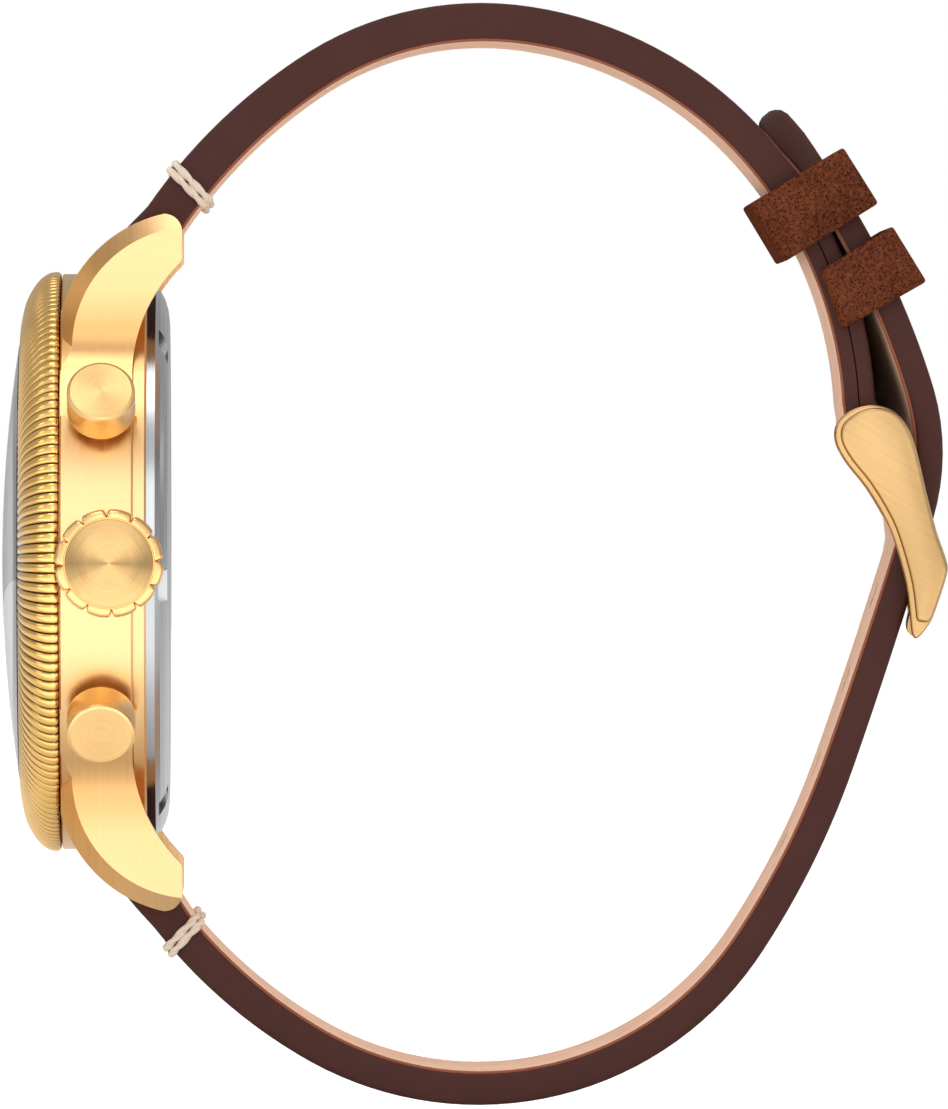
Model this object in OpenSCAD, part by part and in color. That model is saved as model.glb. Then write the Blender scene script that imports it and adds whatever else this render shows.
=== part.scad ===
// Chronograph wristwatch on a buckled leather strap.
// The case is drawn lying on its back (x to 3 o'clock, y to 12 o'clock, z to the dial) and then
// stood up, so that the finished part has 12 o'clock up (+Z), the dial to the front (-Y) and the
// crown to the right (+X). The strap is drawn in the part's own y-z plane.

/* [Case] */
// Diameter of the case middle's flank
case_d = 41.7; // [40.5:0.1:44]
// Height of the case back's outer flange
back_h = 1.6; // [1.4:0.05:1.9]
// Height where the flank begins above the lower ring
flank_z0 = 2.6; // [2.4:0.05:2.8]
// Height where the flank ends under the bezel
flank_z1 = 7.76; // [7.6:0.02:8.0]
// Distance that the bezel stands out past the flank
bezel_lip = 0.15; // [0.05:0.05:0.4]
// Height of the bezel from its lower edge to its inner edge
bezel_h = 3.0; // [2.8:0.05:3.3]
// Diameter of the crystal
crystal_d = 31.4; // [30.8:0.05:31.6]
// Height of the crystal's dome above the bezel's inner edge
crystal_dome = 1.3; // [0.9:0.05:1.8]

/* [Lugs] */
// Distance between the lugs, which is the strap's nominal width
lug_gap = 22; // [20:0.5:23]
// Thickness of one lug across the watch
lug_t = 3.0; // [2.6:0.1:3.6]
// Radius of the lug's rounded back
lug_r = 9.85; // [9.6:0.05:10.2]
// Width of the bevel along the lug
lug_bevel = 1.17; // [0.6:0.05:1.4]
// Distance of the spring bars from the flank
bar_out = 1.95; // [1.75:0.05:2.3]
// Height of the spring bars above the case back's face
bar_z = 2.0; // [1.8:0.05:2.3]

/* [Crown and pushers] */
// Diameter of the crown over its lobes
crown_d = 7.8; // [6.8:0.1:8.4]
// Length of the crown
crown_l = 4.0; // [3.8:0.1:4.6]
// Number of lobes on the crown
crown_lobes = 12; // [10:1:16]
// Height of the crown's axis above the case back's face
crown_z = 4.19; // [4.0:0.01:4.3]
// Distance that the crown pulls out
crown_pull = 1.0; // [0.6:0.1:1.2]
// Angle of the pushers above and below the crown
pusher_a = 30; // [28:0.5:33]
// Diameter of the pushers' caps
pusher_d = 4.9; // [4.4:0.1:5.2]
// Length of a pusher's cap
pusher_l = 2.85; // [2.4:0.05:3.2]
// Distance that a pusher travels
pusher_travel = 0.8; // [0.5:0.05:0.85]
// Height of the pushers' axes above the case back's face
pusher_z = 4.8; // [4.7:0.05:4.9]

/* [Dial and hands] */
// Diameter of the dial
dial_d = 31.8; // [31:0.1:31.9]
// Distance of the two small dials from the centre
counter_x = 7.0; // [6.8:0.05:7.2]
// Diameter of the two small dials
counter_d = 8.4; // [7:0.1:9]
// Length of the hour hand
hour_l = 8.4; // [7:0.1:9.5]
// Length of the minute hand
minute_l = 12.6; // [11:0.1:13.2]
// Length of the chronograph's centre hand
chrono_l = 13.6; // [12:0.1:14]

/* [Movement] */
// Diameter of the main plate
plate_d = 29.8; // [29.4:0.1:29.9]
// Diameter of the mainspring barrel over its teeth
barrel_d = 10.6; // [9.8:0.1:10.8]
// Diameter of the balance wheel
balance_d = 8.6; // [7.6:0.1:8.8]
// Radial clearance of a turning shaft in its bearing
running_gap = 0.05; // [0.03:0.01:0.06]

/* [Strap] */
// Width of the strap at the buckle
strap_w_buckle = 20; // [18:0.5:20]
// Thickness of the short strap at the lugs
short_t0 = 3.06; // [2.6:0.02:3.3]
// Thickness of the short strap at the buckle
short_t1 = 2.37; // [2.0:0.01:2.5]
// Thickness of the long strap at the lugs
long_t0 = 2.6; // [2.4:0.02:3.0]
// Thickness of the long strap at its tip
long_t1 = 1.98; // [1.7:0.01:2.1]
// Thickness of the lining leather
lining_t = 0.7; // [0.5:0.05:0.7]
// Diameter of the adjusting holes
hole_d = 2.0; // [1.4:0.1:2.4]
// Distance between the adjusting holes
hole_pitch = 6.5; // [6:0.1:7]

/* [Keepers and buckle] */
// Width of a keeper along the strap
keeper_w = 4.65; // [4:0.05:5]
// Thickness of a keeper's leather
keeper_t = 1.0; // [0.8:0.05:1.1]
// Thickness of the buckle's side arms
buckle_arm_t = 2.0; // [1.6:0.1:2.4]
// Diameter of the buckle's pin
pin_d = 1.5; // [1.2:0.05:1.6]
// Width of the buckle's tongue
tongue_w = 2.0; // [1.6:0.1:2.4]
// Thickness of the buckle's tongue
tongue_t = 1.2; // [1:0.05:1.3]

/* [Hidden] */
$fn = 96;

// Colours
gold = [0.86, 0.68, 0.42];
steel = [0.74, 0.75, 0.76];
rhodium = [0.80, 0.80, 0.78];
brass = [0.80, 0.66, 0.36];
rubber = [0.08, 0.08, 0.08];
ivory = [0.93, 0.90, 0.82];
dark_brown = [0.30, 0.18, 0.15];
tan_leather = [0.76, 0.58, 0.46];
brown_leather = [0.36, 0.17, 0.11];
thread = [0.85, 0.77, 0.69];
ruby = [0.75, 0.10, 0.25];
blued = [0.14, 0.18, 0.38];

// Case
fit_gap = 0.05;            // between pieces that are pushed or screwed together
seam = 0.09;               // dark line between case and bezel
case_r = case_d / 2;
bar_y = case_r + bar_out;
ring_r = case_r - 0.45;    // lower ring under the flank
back_r = case_r - 0.95;
back_floor = 0.95;         // inside of the case back
neck_r = case_r - 3.55;    // threaded neck of the case back
neck_z = back_h + 0.8;
cavity_r = case_r - 4.85;
seat_r = case_r - 1.95;    // collar that carries the bezel
seat_z = flank_z1 + 1.54;
bezel_z0 = flank_z1 + seam;
bezel_r = case_r + bezel_lip;
bezel_z1 = bezel_z0 + bezel_h;
crystal_r = crystal_d / 2;
bezel_bore = crystal_r + 0.35;
crystal_edge_z = bezel_z1 + 0.07;
crystal_top = crystal_edge_z + crystal_dome - 0.07;
crystal_t = 1.5;
dome_rise = crystal_top - crystal_edge_z;
dome_r = (crystal_r * crystal_r + dome_rise * dome_rise) / (2 * dome_rise);
gasket_r = 0.3;

// Lugs, seen from the side
lug_cy = case_r - 5.43;
lug_cz = -1.74;
lug_inner = [case_r - 7.51, -8.91];
lug_inner_r = 11.54;
lug_tip_z = -0.95;
lug_round = 1.3;
lug_round_at = [case_r + 2.89, lug_tip_z + lug_round];
lug_foot_y = case_r - 10.35; // inside the flank
lug_flow_y = case_r - 7.15;  // where the bevel ends in the flank
lug_heel = 0.5;              // round between the lug's tip and its underside
lug_heel_z = lug_tip_z + lug_heel;
lug_heel_at = [lug_inner[0] + sqrt(pow(lug_inner_r + lug_heel, 2) - pow(lug_heel_z - lug_inner[1], 2)), lug_heel_z];
lug_heel_end = lug_inner + (lug_heel_at - lug_inner) * lug_inner_r / (lug_inner_r + lug_heel);
lug_x = lug_gap / 2 + lug_t;
lug_fillet = 5;
fillet_x = lug_x + lug_fillet;
fillet_y = sqrt(pow(case_r + lug_fillet, 2) - fillet_x * fillet_x);
bar_r = 0.9;
bar_tip_r = 0.45;
bar_tip_l = 1.1;
bar_hole_r = bar_tip_r + fit_gap;

// Crown and its stem
stem_r = 0.6;
stem_x0 = 8.6;
pinion_x = 10.9;           // winding pinion on the stem
pinion_l = 0.8;
pinion_r = 1.0;
tube_r = 1.65;
crown_x0 = case_r + 0.45;
crown_x1 = crown_x0 + crown_l;
crown_floor = crown_x1 - 1.3;
oring_t = 0.5;
oring_x = crown_x0 + 0.7;
tube_x1 = oring_x + crown_pull + 0.4;   // keeps the ring on the tube when the crown is out

// Pushers, along their own axes
cap_r = pusher_d / 2;
cap_s0 = case_r + pusher_travel + 2 * fit_gap;
cap_s1 = cap_s0 + pusher_l;
rod_r = 0.55;
rod_s0 = plate_d / 2 + 0.06;
collar_s = cavity_r - 0.35;
collar_r = 1.1;
well_r = 1.3;
well_s = cap_s0 - 1.5;
spring_wire = 0.12;
spring_turns = 5;

// Dial
dial_z0 = 7.75;
dial_z1 = dial_z0 + 0.4;
dial_r = dial_d / 2;
marker_r0 = 11.2;
marker_r1 = 14.2;
chrono_z = 9.02;
minute_z = 8.64;
hour_z = 8.32;
small_z = 8.32;
hand_t = 0.16;

// Movement levels, from the back
lever_z = 1.4;
lever_t = 0.5;
heart_z = 1.45;
chrono_wheel_z = 2.0;
ratchet_z = 2.52;
wheel_t = 0.25;
bridge_z = 3.1;
bridge_t = 0.5;
train_z = 3.75;
barrel_z = 4.2;
upper_z = 4.6;
plate_z = 5.5;
plate_z1 = 6.9;
motion_z = 7.0;
plate_r = plate_d / 2;
rim_r = plate_r - 1.3;
ring_top = dial_z0;
mesh_gap = 0.05;
arbor_r = 0.16;
pivot_gap = 0.04;
jewel_r = 0.75;

// Movement places
centre = [0, 0];
recorder_at = [counter_x, 0];
fourth_at = [-counter_x, 0];
barrel_r = barrel_d / 2;
centre_pinion_r = 1.0;
barrel_reach = barrel_r + centre_pinion_r + mesh_gap;
barrel_at = barrel_reach * [cos(58), sin(58)];
centre_wheel_r = 3.8;
third_pinion_r = 0.5;
third_r = 2.85;
fourth_pinion_r = 0.4;
centre_third = centre_wheel_r + third_pinion_r + mesh_gap;
third_fourth = third_r + fourth_pinion_r + mesh_gap;
third_x = (counter_x * counter_x + centre_third * centre_third - third_fourth * third_fourth) / (2 * counter_x);
third_at = [-third_x, sqrt(centre_third * centre_third - third_x * third_x)];
fourth_r = 2.6;
escape_pinion_r = 0.35;
escape_r = 1.9;
escape_at = fourth_at + (fourth_r + escape_pinion_r + mesh_gap) * [cos(245), sin(245)];
fork_at = escape_at + 2.6 * [cos(300), sin(300)];
balance_at = fork_at + 3.2 * [cos(310), sin(310)];
balance_r = balance_d / 2;
crown_wheel_r = 2.75;
crown_wheel_at = [10.1, 3.3];
ratchet_r = norm(crown_wheel_at - barrel_at) - crown_wheel_r - mesh_gap;
cannon_r = 0.8;
minute_wheel_r = 3 * cannon_r;
minute_at = [0, -(minute_wheel_r + cannon_r + mesh_gap)];
minute_pinion_r = 0.65;
hour_wheel_r = -minute_at[1] - minute_pinion_r - mesh_gap;
chrono_wheel_r = 3.2;
recorder_r = 2.4;
column_at = [4.0, 13.0];
column_r = 1.4;
lever_at = [9.6, 10.6];
lever_tip = [12.7, 7.3];
hammer_at = [9.6, -10.6];
hammer_tip = [12.7, -7.3];
tab_z1 = pusher_z + 0.4;
post_r = 0.4;
chrono_arbor_r = 0.22;
centre_tube = [chrono_arbor_r + running_gap, 0.45];
cannon_tube = [centre_tube[1] + running_gap, 0.68];
hour_tube = [cannon_tube[1] + running_gap, 0.95];

// Strap: each centre line is a chain of tangent arcs [radius, sweep], a negative pair turning right
strap_w_lug = lug_gap - 0.3;
short_start = [-0.26, 24.77];
short_heading = 55.6;
short_arcs = [[-38.7, -22.2], [-22.15, -40.6], [-27.0, -40.4], [-29.7, -39.8]];
long_start = [0.7, -26.41];
long_heading = -50.4;
short_chain = [short_start, short_heading, short_arcs];
long_arcs = [[36.2, 20.2], [23.75, 38.7], [23.1, 47.8], [58.9, 14.3], [400, 2.7], [15.5, 33.6], [56.4, 22]];
long_chain = [long_start, long_heading, long_arcs];
arc_steps = 10;
lug_loop_r = 1.65;
bar_at = [-bar_z, bar_y];
pin_at = [50.7, 8.5];
pin_r = pin_d / 2;
pin_loop_r = pin_r + 1.25;
full_turn = 360;
bore_reach = 20;            // past the edge of any strap
tongue_room = 0.3;          // on each side of the tongue in the short strap's fold
slot_back = 6.7;
slot_reach = [4, 2.6];

// Threads round the strap's edges: place along each strap and size
stitch_s = [2.9, 0.9];
stitch_l = 2.1;
stitch_w = 1.2;
stitch_t = 0.3;
stitch_gap = 0.06;

// Buckle
ear_x0 = strap_w_buckle / 2 + 0.3;
ear_x1 = ear_x0 + buckle_arm_t;
ear_head_r = 2.7;
ear_outline = [[53.1, 9.6], [54.3, 5.9], [55.3, 2.0], [55.9, 0.1], [55.9, -0.5], [55.6, -1.6], [54.9, -3.4],
  [53.9, -5.3], [53.4, -4.9], [53.45, -3.9], [53.3, -2.3], [52.8, -0.4], [52.3, 0.9], [51.6, 2.2],
  [50.4, 4.1], [49.1, 5.9], [48.1, 7.7]];
bar_outline = [[55.9, 0.1], [55.9, -0.5], [55.6, -1.6], [54.9, -3.4], [53.9, -5.3], [53.4, -4.9],
  [53.75, -2.9], [54.8, -0.3]];
tongue_a = -57.9;           // slope of the tongue from the pin to the bar
tongue_l = 11.3;            // from the pin to the tip
tongue_lift = 5;            // room for the tongue to rise in its hole
tongue_hole_s = 81.6;       // where the tongue passes the long strap, along its centre line

// Keepers: centre, tilt of their radial side and inner opening
free_tilt = 31;
free_at = [46.45, 25.76];
free_in = 5.75;
fixed_tilt = 26;
fixed_at = [50.69, 20.64];
fixed_in = 4.10;
free_inner_w = strap_w_buckle + 0.7;

// ---------------------------------------------------------------- helpers

// Points of a gear outline with short teeth
function gear_points(n, tip, depth) = [
  for (i = [0 : n - 1], c = [[-0.30, 1], [-0.14, 0], [0.14, 0], [0.30, 1]])
    let (a = full_turn / n * (i + c[0]), r = tip - depth * c[1]) [r * cos(a), r * sin(a)]
];

// End point of an arc of signed radius r that leaves p with heading a and turns by t
function arc_end(p, a, r, t) = p + r * [sin(a + t) - sin(a), cos(a) - cos(a + t)];

// Start point and heading of arc i of a chain
function arc_start(p, a, arcs, i) = i == 0 ? [p, a] :
  let (q = arc_start(p, a, arcs, i - 1), s = arcs[i - 1]) [arc_end(q[0], q[1], s[0], s[1]), q[1] + s[1]];

// Length of a chain up to arc i
function chain_length(arcs, i) = i == 0 ? 0 :
  chain_length(arcs, i - 1) + abs(arcs[i - 1][0] * arcs[i - 1][1]) * PI / 180;

// Stations along a chain [start, heading, arcs]: [point, heading, length so far]
function chain(c) = [
  for (i = [0 : len(c[2]) - 1], k = [(i == 0 ? 0 : 1) : arc_steps])
    let (arcs = c[2], q = arc_start(c[0], c[1], arcs, i), t = arcs[i][1] * k / arc_steps)
      [arc_end(q[0], q[1], arcs[i][0], t), q[1] + t,
       chain_length(arcs, i) + abs(arcs[i][0] * t) * PI / 180]
];

// Point and heading of a chain at length s
function at_length(p, a, arcs, s, i = 0) =
  let (r = arcs[i][0], t = arcs[i][1], l = abs(r * t) * PI / 180)
    s <= l || i == len(arcs) - 1 ? [arc_end(p, a, r, t * s / l), a + t * s / l]
      : at_length(arc_end(p, a, r, t), a + t, arcs, s - l, i + 1);

// A station's left-hand normal
function left(st) = [-sin(st[1]), cos(st[1])];

// One side of a band: offset o0 at its start and o1 at its end
function side(stations, o0, o1) = [
  for (st = stations) st[0] + (o0 + (o1 - o0) * st[2] / stations[len(stations) - 1][2]) * left(st)
];

function reverse(v) = [for (i = [len(v) - 1 : -1 : 0]) v[i]];

// Closed outline of a band between two offsets
function band(stations, a0, a1, b0, b1) = concat(side(stations, a0, a1), reverse(side(stations, b0, b1)));

short_line = chain(short_chain);
long_line = chain(long_chain);
short_end = short_line[len(short_line) - 1];
long_first = long_line[0];

// Stands the case and its contents up: dial to the front, 12 o'clock up
module stand() {
  rotate([90, 0, 0]) children();
}

// Takes a child drawn in the y-z plane and gives it thickness across x
module across(x0, x1) {
  translate([x0, 0, 0]) rotate([90, 0, 90]) linear_extrude(x1 - x0) children();
}

// A disc between two heights
module disc(r, z0, z1) {
  translate([0, 0, z0]) cylinder(r = r, h = z1 - z0);
}

// A tube between two heights
module tube(r_in, r_out, z0, z1) {
  difference() {
    disc(r_out, z0, z1);
    disc(r_in, z0 - 1, z1 + 1);
  }
}

// A flat bar with round ends
module bar2d(p, q, r) {
  d = q - p;
  translate(p) circle(r = r, $fn = 48);
  translate(q) circle(r = r, $fn = 48);
  translate(p) rotate(atan2(d[1], d[0])) translate([0, -r]) square([norm(d), 2 * r]);
}

// A toothed wheel with round openings, on a solid boss
module wheel(n, tip, z0, t, openings = 5, depth = 0.18) {
  translate([0, 0, z0]) linear_extrude(t) difference() {
    polygon(gear_points(n, tip, depth));
    if (openings > 0) {
      for (i = [1 : openings]) {
        rotate(i * full_turn / openings) translate([tip * 0.55, 0]) circle(r = tip * 0.22, $fn = 32);
      }
    }
  }
}

// Carries a child to a pusher's axis: the child is drawn along +z from the centre of the watch
module at_pusher(sign) {
  translate([0, 0, pusher_z]) rotate([0, 90, sign * pusher_a]) children();
}

// Carries a child to the crown's axis, drawn along +z from the centre of the watch
module at_crown() {
  translate([0, 0, crown_z]) rotate([0, 90, 0]) children();
}

// Room for the pushers, their rods and the levers' tabs in the movement
module pusher_pockets() {
  for (s = [-1, 1]) {
    rotate([0, 0, s * pusher_a]) translate([12.2, -2.5, bridge_z - 0.5]) cube([4, 5, plate_z + 1 - bridge_z]);
  }
}

// ---------------------------------------------------------------- case

// Plan of the case middle with its four lugs
module case_plan() {
  circle(r = case_r, $fn = 180);
  for (mx = [0, 1], my = [0, 1]) mirror([mx, 0]) mirror([0, my]) {
    translate([lug_gap / 2, 8]) square([lug_t, 20]);
    difference() {
      polygon([[lug_x - 2, 10], [case_r * fillet_x, case_r * fillet_y] / (case_r + lug_fillet),
        [fillet_x, fillet_y], [lug_x - 2, fillet_y]]);
      translate([fillet_x, fillet_y]) circle(r = lug_fillet);
    }
  }
}

// Side shape of a lug, given across the whole watch
module lug_side(half) {
  across(-half, half) difference() {
    translate([lug_foot_y, lug_tip_z]) square([16, flank_z1 - lug_tip_z]);
    translate(lug_inner) circle(r = lug_inner_r, $fn = 120);
    translate([lug_foot_y - 0.5, lug_tip_z - 1]) square([3.4, back_h + 1.6 - lug_tip_z]);
    difference() {
      polygon([lug_heel_at, lug_heel_at - [0, 2 * lug_heel], lug_heel_end - [0.4, 1.2 * lug_heel], lug_heel_end]);
      translate(lug_heel_at) circle(r = lug_heel, $fn = 48);
    }
    difference() {
      translate([lug_round_at[0], lug_tip_z - 1]) square([4, 1 + lug_round]);
      translate(lug_round_at) circle(r = lug_round, $fn = 48);
    }
  }
}

// Round back of the lugs with its bevel at both ends
module lug_back() {
  translate([-lug_x, lug_cy, lug_cz]) rotate([0, 90, 0]) {
    cylinder(r1 = lug_r - lug_bevel, r2 = lug_r, h = lug_bevel, $fn = 120);
    translate([0, 0, lug_bevel]) cylinder(r = lug_r, h = 2 * (lug_x - lug_bevel), $fn = 120);
    translate([0, 0, 2 * lug_x - lug_bevel])
      cylinder(r1 = lug_r, r2 = lug_r - lug_bevel, h = lug_bevel, $fn = 120);
  }
}

// Side of the lugs where it flows into the flank, as high as the bevel's edge
module lug_flow() {
  intersection() {
    lug_side(fillet_x);
    across(-fillet_x, fillet_x) {
      translate([lug_cy, lug_cz]) circle(r = lug_r - lug_bevel, $fn = 120);
      polygon([[lug_foot_y, 0], [lug_cy, 0], [lug_cy, lug_cz + lug_r - lug_bevel], [lug_flow_y, flank_z1],
        [lug_foot_y, flank_z1]]);
    }
  }
}

module lugs() {
  intersection() {
    for (my = [0, 1]) mirror([0, my, 0]) {
      intersection() {
        lug_side(lug_x);
        lug_back();
      }
      lug_flow();
    }
    translate([0, 0, lug_tip_z - 1]) linear_extrude(12) case_plan();
  }
}

module case_middle() {
  color(gold) stand() difference() {
    union() {
      rotate_extrude($fn = 180) polygon([[cavity_r, back_h], [ring_r - 0.15, back_h], [ring_r, back_h + 0.15],
        [ring_r, flank_z0 - 0.08], [ring_r - 0.2, flank_z0 - 0.04], [ring_r - 0.2, flank_z0],
        [case_r - 0.08, flank_z0], [case_r, flank_z0 + 0.08], [case_r, flank_z1 - 0.08],
        [case_r - 0.08, flank_z1], [seat_r, flank_z1], [seat_r, seat_z], [cavity_r, seat_z]]);
      difference() {
        lugs();
        disc(case_r - 1, -3, seat_z + 1);
        disc(case_r + 0.3, -3, back_h + 0.1);
      }
    }
    disc(neck_r + fit_gap, back_h - 1, neck_z + fit_gap);
    disc(cavity_r, back_h - 1, seat_z + 1);
    tube(neck_r + 0.65, neck_r + 0.65 + 3 * gasket_r, back_h - 1, back_h + 2 * gasket_r);
    at_crown() disc(tube_r, 15, case_r + 1);
    for (s = [-1, 1]) {
      at_pusher(s) disc(tube_r, 15, case_r + 1);
      translate([-lug_gap / 2 - bar_tip_l - fit_gap, s * bar_y, bar_z]) rotate([0, 90, 0])
        cylinder(r = bar_hole_r, h = lug_gap + 2 * (bar_tip_l + fit_gap));
    }
  }
}

// Bezel: a domed ring on the case's collar; the fine coin edge is a surface finish
module bezel() {
  color(gold) stand() rotate_extrude($fn = 180) polygon(concat(
    [[seat_r + fit_gap, bezel_z0], [bezel_r - 0.1, bezel_z0], [bezel_r, bezel_z0 + 0.25]],
    [for (a = [0 : 12 : 72]) [bezel_r - 2.62 + 2.62 * cos(a), bezel_z0 + 0.25 + 2.25 * sin(a)]],
    [[bezel_r - 3.1, bezel_z1 - 0.26], [bezel_r - 3.9, bezel_z1 - 0.11], [bezel_bore + 0.05, bezel_z1],
     [bezel_bore, bezel_z1 - 0.05], [bezel_bore, seat_z], [seat_r + fit_gap, seat_z]]));
}

module crystal() {
  color([0.85, 0.9, 0.92, 0.35]) stand() difference() {
    intersection() {
      disc(crystal_r, seat_z + 0.2, crystal_top + 1);
      translate([0, 0, crystal_top - dome_r]) sphere(r = dome_r, $fn = 200);
    }
    intersection() {
      disc(crystal_r - 0.9, seat_z - 1, crystal_top);
      translate([0, 0, crystal_top - dome_r]) sphere(r = dome_r - crystal_t, $fn = 200);
    }
    disc(crystal_r - 0.9, seat_z - 1, seat_z + 0.4);
  }
}

module crystal_gasket() {
  color(rubber) stand() union() {
    tube(crystal_r, bezel_bore, seat_z, bezel_z1 - 0.1);
    tube(crystal_r - 0.8, crystal_r + 0.1, seat_z, seat_z + 0.2);
  }
}

module flange_ring() {
  color(ivory) stand() rotate_extrude() polygon([[dial_r - 1.1, dial_z1], [dial_r, dial_z1],
    [dial_r, seat_z - 0.05], [dial_r - 0.5, seat_z - 0.05], [dial_r - 1.1, dial_z1 + 0.15]]);
}

module case_back() {
  color(steel) stand() difference() {
    rotate_extrude($fn = 180) polygon([[0, 0], [17.4, 0], [18.3, 0.11], [19.0, 0.33], [19.55, 0.62],
      [back_r, 0.98], [back_r, back_h], [neck_r, back_h], [neck_r, neck_z], [neck_r - 1.0, neck_z],
      [neck_r - 1.0, back_floor], [0, back_floor]]);
    for (i = [0 : 5]) rotate([0, 0, i * 60 - 5]) translate([18.1, -1.1, -0.2]) cube([3, 2.2, 0.95]);
  }
}

module case_back_gasket() {
  color(rubber) stand() translate([0, 0, back_h + gasket_r]) rotate_extrude()
    translate([neck_r + 0.65 + 1.5 * gasket_r, 0]) circle(r = gasket_r, $fn = 32);
}

module crown_tube() {
  color(steel) stand() at_crown() difference() {
    union() {
      disc(tube_r, cavity_r + 0.1, tube_x1);
      disc(tube_r - 0.25, cavity_r - 0.05, tube_x1);
    }
    disc(stem_r + running_gap, 14, tube_x1 + 1);
  }
}

module pusher_tubes() {
  color(gold) stand() for (s = [-1, 1]) at_pusher(s) difference() {
    disc(tube_r, cavity_r - 0.02, cap_s0 + 0.25);
    disc(rod_r + running_gap, 14, cap_s1);
    disc(well_r, well_s, cap_s1);
  }
}

module lug_spring_bars() {
  color(steel) stand() for (s = [-1, 1]) {
    translate([0, s * bar_y, bar_z]) rotate([0, 90, 0]) {
      disc(bar_r, -lug_gap / 2 + 0.12, lug_gap / 2 - 0.12);
      disc(bar_tip_r, -lug_gap / 2 - bar_tip_l, lug_gap / 2 + bar_tip_l);
    }
  }
}

// ---------------------------------------------------------------- dial

module dial() {
  color(ivory) stand() difference() {
    disc(dial_r, dial_z0, dial_z1);
    disc(hour_tube[1] + 2 * running_gap, 0, 12);
    for (p = [recorder_at, fourth_at]) translate(p) {
      disc(counter_d / 2, dial_z1 - 0.12, 12);
      disc(arbor_r + 3 * running_gap, 0, 12);
    }
  }
}

// Applied hour markers; 3 and 9 give way to the small dials
module hour_markers() {
  color(gold) stand() for (h = [1, 2, 4, 5, 7, 8, 10, 11, 6, 12]) {
    w = h % 6 == 0 ? 1.5 : 0.75;
    rotate([0, 0, -30 * h]) translate([-w / 2, marker_r0, dial_z1]) cube([w, marker_r1 - marker_r0, 0.35]);
  }
}

// A pointer along +y: tapered blade, round boss and short tail
module pointer(length, w, tail, boss, z0, t) {
  translate([0, 0, z0]) union() {
    linear_extrude(t) polygon([[-w * 0.35, -tail], [w * 0.35, -tail], [w / 2, 0],
      [w * 0.62, length * 0.55], [0.06, length], [-0.06, length], [-w * 0.62, length * 0.55], [-w / 2, 0]]);
    cylinder(r = boss, h = t);
  }
}

module hour_hand() {
  color(gold) stand() rotate([0, 0, 56]) difference() {
    pointer(hour_l, 1.1, 1.6, 1.35, hour_z, hand_t);
    disc(hour_tube[1], 0, 12);
  }
}

module minute_hand() {
  color(gold) stand() rotate([0, 0, -50]) difference() {
    pointer(minute_l, 0.9, 2.0, 1.1, minute_z, hand_t);
    disc(cannon_tube[1], 0, 12);
  }
}

module chrono_seconds_hand() {
  color(dark_brown) stand() difference() {
    union() {
      pointer(chrono_l, 0.32, 4.2, 0.8, chrono_z, hand_t);
      translate([0, -4.2, chrono_z]) cylinder(r = 0.6, h = hand_t);
    }
    disc(chrono_arbor_r, 0, 12);
  }
}

module small_hand() {
  difference() {
    pointer(counter_d / 2 - 0.7, 0.5, 1.0, 0.45, small_z, hand_t);
    disc(arbor_r, 0, 12);
  }
}

module running_seconds_hand() {
  color(dark_brown) stand() translate(fourth_at) small_hand();
}

module minute_counter_hand() {
  color(dark_brown) stand() translate(recorder_at) small_hand();
}

// ---------------------------------------------------------------- movement: fixed pieces

module movement_ring() {
  color(rhodium) stand() difference() {
    tube(plate_r + 0.1, cavity_r - fit_gap, neck_z + 0.1, ring_top);
    at_crown() disc(stem_r + 0.4, 10, 20);
    for (s = [-1, 1]) at_pusher(s) disc(collar_r + 0.3, 10, 20);
  }
}

// Main plate: a thick disc with a rim that carries the bridges
module main_plate() {
  color(rhodium) stand() difference() {
    union() {
      disc(plate_r, plate_z, plate_z1);
      tube(rim_r, plate_r, bridge_z + bridge_t, plate_z + 0.1);
      disc(plate_r, plate_z1 - 0.3, plate_z1);
      translate(minute_at) disc(post_r, plate_z1 - 0.1, motion_z + 0.75);
    }
    disc(centre_tube[1] + running_gap, 0, 12);
    translate(barrel_at) disc(0.6 + running_gap, 0, 12);
    for (p = [third_at, fourth_at, escape_at, balance_at, recorder_at, fork_at]) translate(p)
      disc(max(arbor_r, chrono_arbor_r) + running_gap, 0, 12);
    at_crown() disc(stem_r + running_gap, 5, 20);
    pusher_pockets();
  }
}

// One bridge: a sector of the movement's disc, seen from its corner point
module bridge_plate(corner, a0, a1) {
  translate([0, 0, bridge_z]) linear_extrude(bridge_t) intersection() {
    circle(r = plate_r, $fn = 120);
    polygon(concat([corner], [for (k = [0 : 4]) let (a = a0 + (a1 - a0) * k / 4) corner + 40 * [cos(a), sin(a)]]));
  }
}

module barrel_bridge() {
  color(rhodium) stand() difference() {
    bridge_plate([0.9, 1.2], 5, 108);
    translate(barrel_at) disc(0.6 + running_gap, 0, 12);
    pusher_pockets();
  }
}

module train_bridge() {
  color(rhodium) stand() difference() {
    bridge_plate([1.6, -1.2], 112, 209);
    for (p = [third_at, fourth_at, escape_at, centre]) translate(p) disc(jewel_r, 0, 12);
  }
}

module chrono_bridge() {
  color(rhodium) stand() difference() {
    bridge_plate([2.9, 0.6], -95, 3);
    translate(recorder_at) disc(jewel_r, 0, 12);
    at_crown() disc(pinion_r + 0.15, pinion_x - 0.2, pinion_x + pinion_l + crown_pull + 0.2);
    at_crown() disc(stem_r + running_gap, 5, 20);
    pusher_pockets();
  }
}

module balance_cock() {
  color(rhodium) stand() difference() {
    translate([0, 0, bridge_z]) linear_extrude(bridge_t) intersection() {
      bar2d(balance_at, [-10, -10], 1.5);
      circle(r = plate_r, $fn = 120);
    }
    translate(balance_at) disc(jewel_r, 0, 12);
    translate([0, 0, bridge_z - 1]) linear_extrude(4)
      polygon([[1.6, -0.9], [-20, -12.9], [-20, 5], [1.6, 5]]);
  }
}

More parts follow.
